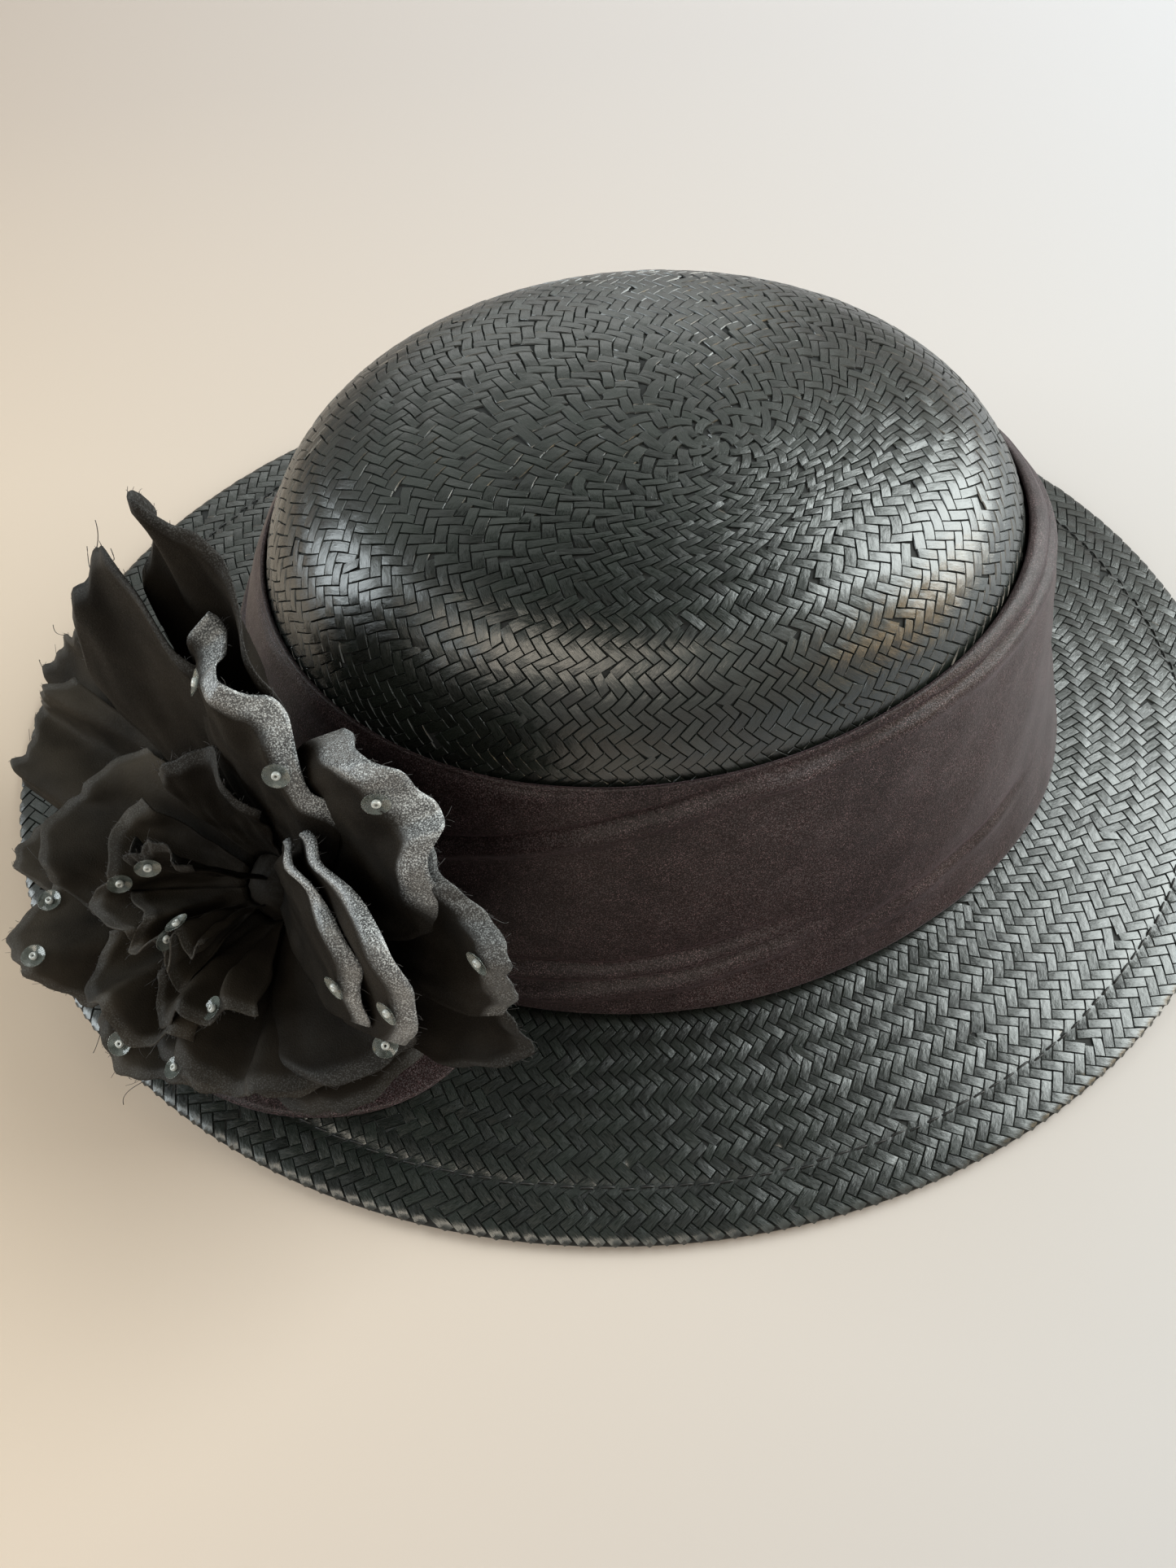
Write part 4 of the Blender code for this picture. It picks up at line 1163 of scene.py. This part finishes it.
def rim_marks(petal):
    """X is how strongly a point's rolled rim is painted with a highlight, 0 on the face, and Y how much
    painted light its face gets, none near the heart, which is left in painted shade.
    """
    along = np.repeat(petal_alongs(), PETAL_COLUMNS)
    start = 1 - petal.hem / petal.length
    rolled = smooth_step((along - start) / (0.5 * (1 - start)))
    # Painted highlight: the further a rim rolls back, the brighter it is painted, never less than RIM_LEAST
    painted_rim_shine = min(1.0, max(RIM_LEAST, (petal.lip - RIM_DULL_LIP) / (RIM_FULL_LIP - RIM_DULL_LIP)))
    # Painted light: petals pointing towards the lower left get a lighter face, fading to painted shade
    # towards the heart
    painted_light = smooth_step((cos(radians(petal.direction - PAINTED_LIGHT_DIRECTION)) - PAINTED_LIGHT_START) / (1 - PAINTED_LIGHT_START))
    return np.stack([painted_rim_shine * rolled, painted_light * smooth_step((along - 0.3) / 0.7), 0 * along], axis=-1)


def build_petal(petal, seed):
    points = petal_grid(petal, seed)
    obj = mesh_object(petal.name + "_cloth", points, grid_faces(PETAL_ROWS, PETAL_COLUMNS))
    add_vectors(obj, "rim", rim_marks(petal))
    thicken(obj, PETAL_CLOTH)
    finish_piece(obj, PETAL_LOOK, [petal.name])
    declare_cut(points)
    return points


def seat_ring(radius, height):
    """A ring of the pleated seat, at a height along the flower's axis."""
    direction = 2 * pi * np.arange(SEAT_SIDES) / SEAT_SIDES
    pleats = 1 + SEAT_PLEATS * np.cos(SEAT_PLEAT_COUNT * direction)
    return flower_places(radius * pleats, direction, height)


def behind_base(point):
    """Whether a point lies in the backing, the band or the brim behind the seat."""
    x, y, z = point
    lift = 2 * CLOTH_GAP + CLOTH + SEAT_SLACK
    reach = z - brim_top(0.0) - LAID_GAP - lift
    long_radius, short_radius = crown_ring(z, backing_offset(lift, reach))
    return hypot(x / long_radius, y / short_radius) < 1.0 or z < brim_top(0.1) + lift + CORNER_RISE


def seated(start):
    """Moves a point back along the flower's axis until it lies just off what is behind it."""
    depth = 0.0
    while depth < BASE_DEPTH_MAX and not behind_base(start - AXIS * (depth + BASE_STEP)):
        depth += BASE_STEP
    return start - AXIS * depth


def build_seat():
    """The gathered cloth seat that the petals are sewn to."""
    rings = [seat_ring(LEVELS[k].gather - STEM_GAP, -LEVELS[k].depth) for k in STEM_LEVELS]
    foot = -LEVELS[-1].depth - 0.5 * CLOTH - CLOTH_GAP
    rings.append(seat_ring(BASE_RADIUS - BASE_INSET, foot))
    for radius in (BASE_RADIUS - BASE_INSET, 0.65 * BASE_RADIUS, 0.3 * BASE_RADIUS):
        rings.append(np.array([seated(start) for start in seat_ring(radius, foot)]))
    obj = closed_shell("flower_seat", np.array(rings), [rings[0].mean(axis=0), rings[-1].mean(axis=0)])
    finish_piece(obj, PETAL_LOOK, ["flower_base"])


def petal_column(across, margin):
    column = int(round((across + 1) / 2 * (PETAL_COLUMNS - 1)))
    return min(max(column, margin), PETAL_COLUMNS - 1 - margin)


def build_sequin(number, sequin, points):
    """A clear cup that lies on its petal, with a seed bead in it."""
    row = int(np.argmin(np.abs(petal_alongs() - SEQUIN_ALONG)))
    row = min(max(row, 2), PETAL_ROWS - 3)
    column = petal_column(sequin.across, 2)
    aside = points[row, column + 2] - points[row, column - 2]
    onward = points[row + 2, column] - points[row - 2, column]
    normal = unit(np.cross(aside, onward))
    normal = -normal if normal @ AXIS < 0 else normal
    turn = np.array(Vector(normal).to_track_quat("Z", "Y").to_matrix())
    cup = oval_rings([(r, r, z) for r, z in CUP], SEQUIN_SIDES).reshape(-1, 3)
    bead = oval_rings([(r, r, z + BEAD_LIFT) for r, z in BEAD], SEQUIN_SIDES // 2).reshape(-1, 3)
    cup_faces = grid_faces(len(CUP), SEQUIN_SIDES, wrap_columns=True, wrap_rows=True)
    bead_faces = grid_faces(len(BEAD), SEQUIN_SIDES // 2, len(cup), wrap_columns=True, wrap_rows=True)
    shape = np.concatenate([cup, bead]) @ turn.T + points[row, column]
    shape = shape + normal * (0.5 * PETAL_CLOTH + SEQUIN_LIFT)
    obj = mesh_object("sequin_%02d_cup" % number, shape, np.concatenate([cup_faces, bead_faces]))
    obj.data.materials.append(SEQUIN_LOOK)
    obj.data.materials.append(BEAD_LOOK)
    marks = [0] * len(cup_faces) + [1] * len(bead_faces)
    obj.data.polygons.foreach_set("material_index", marks)
    finish_piece(obj, SEQUIN_LOOK, ["sequin_%02d" % number])


def rim_frame(points, column, rows_back):
    """A place on a petal's rim, with the directions out of it and along it."""
    start = points[-1, column]
    outward = unit(start - points[-1 - rows_back, column])
    return start, outward, unit(points[-1, column + 1] - points[-1, column - 1])


def fray_paths(points, rng):
    """Short broken fibres along a petal's raw rim."""
    steps = np.linspace(0.0, 1.0, 4)[:, None]
    paths = []
    for _ in range(FRAYS):
        start, outward, aside = rim_frame(points, int(rng.integers(1, PETAL_COLUMNS - 1)), 2)
        start = start + aside * rng.normal(0.0, 0.4) - outward * 0.2
        length = FRAY_SHORTEST + FRAY_LONGER * rng.random() ** 3
        bend = aside * rng.normal(0.0, 0.5) + rng.normal(0.0, 0.3, 3)
        paths.append(start + outward * steps * length + bend * steps ** 2 * length)
    return paths


def thread_path(thread, points):
    start, outward, aside = rim_frame(points, petal_column(thread.across, 1), 3)
    t = np.linspace(0.0, 1.0, 12)[:, None]
    curl = aside * thread.aside * np.sin(2.2 * t) + np.array([0.0, 0.0, 1.0]) * thread.rise * t ** 2
    return start - outward * 0.3 + thread.length * (outward * t * 0.8 + curl * 0.7)


def build_flower():
    grids = {}
    rng = np.random.default_rng(3)
    paths = []
    for seed, petal in enumerate(PETALS, start=FIRST_PETAL_SEED):
        grids[petal.name] = build_petal(petal, seed)
        paths += fray_paths(grids[petal.name], rng)
    radii = [FRAY_RADIUS] * len(paths) + [THREAD_RADIUS] * len(THREADS)
    paths += [thread_path(thread, grids[thread.petal]) for thread in THREADS]
    finish_piece(tubes_object("raw_edge_threads", paths, radii, THREAD_SIDES), THREAD_LOOK)
    for number, sequin in enumerate(SEQUINS, start=1):
        build_sequin(number, sequin, grids[sequin.petal])


# Floor, light and camera

def build_floor():
    size = FLOOR_SIZE
    points = [(-size, -size, 0.0), (size, -size, 0.0), (size, size, 0.0), (-size, size, 0.0)]
    floor = mesh_object("floor", points, [[0, 1, 2, 3]], smooth=False)
    look = Look(bpy.data.materials.new("pale_floor"))
    place = look.place()
    # The floor's colour carries painted light: a left and a right ramp from front to back, mixed across
    share = look.span(look.part(place, "X"), 0.0, 1.0, -0.35, 0.45)
    depth = look.span(look.part(place, "Y"), 0.0, 1.0, -0.25, 0.7)
    floor.data.materials.append(look.shade({
        "Base Color": look.mix(share, look.ramp(depth, *FLOOR_LEFT_PAINTED_LIGHT), look.ramp(depth, *FLOOR_RIGHT_PAINTED_LIGHT)),
        "Roughness": 0.55,
        "Specular IOR Level": 0.3,
    }))


def build_world():
    """Pale walls all round, brighter further up and to the right, under a dark ceiling."""
    world = bpy.data.worlds.new("soft_room")
    look = Look(world)
    direction = look.node("TexCoord", "Generated")
    walls = look.ramp(
        look.part(direction, "Z"), (0.0, WALL_LIGHT), (0.40, WALL_LIGHT), (0.62, UPPER_LIGHT),
        (0.84, UPPER_LIGHT), (0.93, CEILING_LIGHT))
    strength = look.span(look.part(direction, "X"), 0.65, 1.15, -0.9, 0.9)
    look.feed(look.nodes["Background"], {"Color": walls, "Strength": strength})
    bpy.context.scene.world = world


def add_light(row):
    light = bpy.data.lights.new(row.name, "AREA")
    light.shape = "RECTANGLE"
    light.size = row.width
    light.size_y = row.height
    light.energy = row.power
    light.color = row.colour
    obj = linked_object(row.name, light)
    azimuth, elevation = radians(row.azimuth), radians(row.elevation)
    direction = Vector((cos(azimuth) * cos(elevation), sin(azimuth) * cos(elevation), sin(elevation)))
    obj.location = direction * row.distance + Vector(LIGHT_TARGET)
    obj.rotation_euler = direction.to_track_quat("Z", "Y").to_euler()


def build_camera():
    pitch, roll = radians(PITCH), radians(ROLL)
    forward = Vector((0.0, cos(pitch), -sin(pitch)))
    right = Vector((1.0, 0.0, 0.0))
    up = right.cross(forward)
    right, up = right * cos(roll) + up * sin(roll), up * cos(roll) - right * sin(roll)
    place = Vector((*AIM, 0.0)) - forward * DISTANCE
    turn = Matrix.Rotation(-radians(YAW), 3, "Z")
    axes = Matrix((turn @ right, turn @ up, -(turn @ forward))).transposed().to_4x4()
    axes.translation = turn @ place * MM
    camera = bpy.data.cameras.new("photo_view")
    camera.sensor_width = SENSOR
    camera.lens = FOCAL_PIXELS * SENSOR / IMAGE_LONG_SIDE
    camera.clip_start = 0.01
    obj = linked_object("photo_view", camera)
    obj.matrix_world = axes
    bpy.context.scene.camera = obj


build_crown()
build_brim()
build_band()
build_backing()
build_seat()
build_flower()
build_floor()
build_world()
bpy.context.scene.view_settings.view_transform = "Standard"
for light_row in LIGHTS:
    add_light(light_row)
build_camera()

bpy.context.view_layer.update()
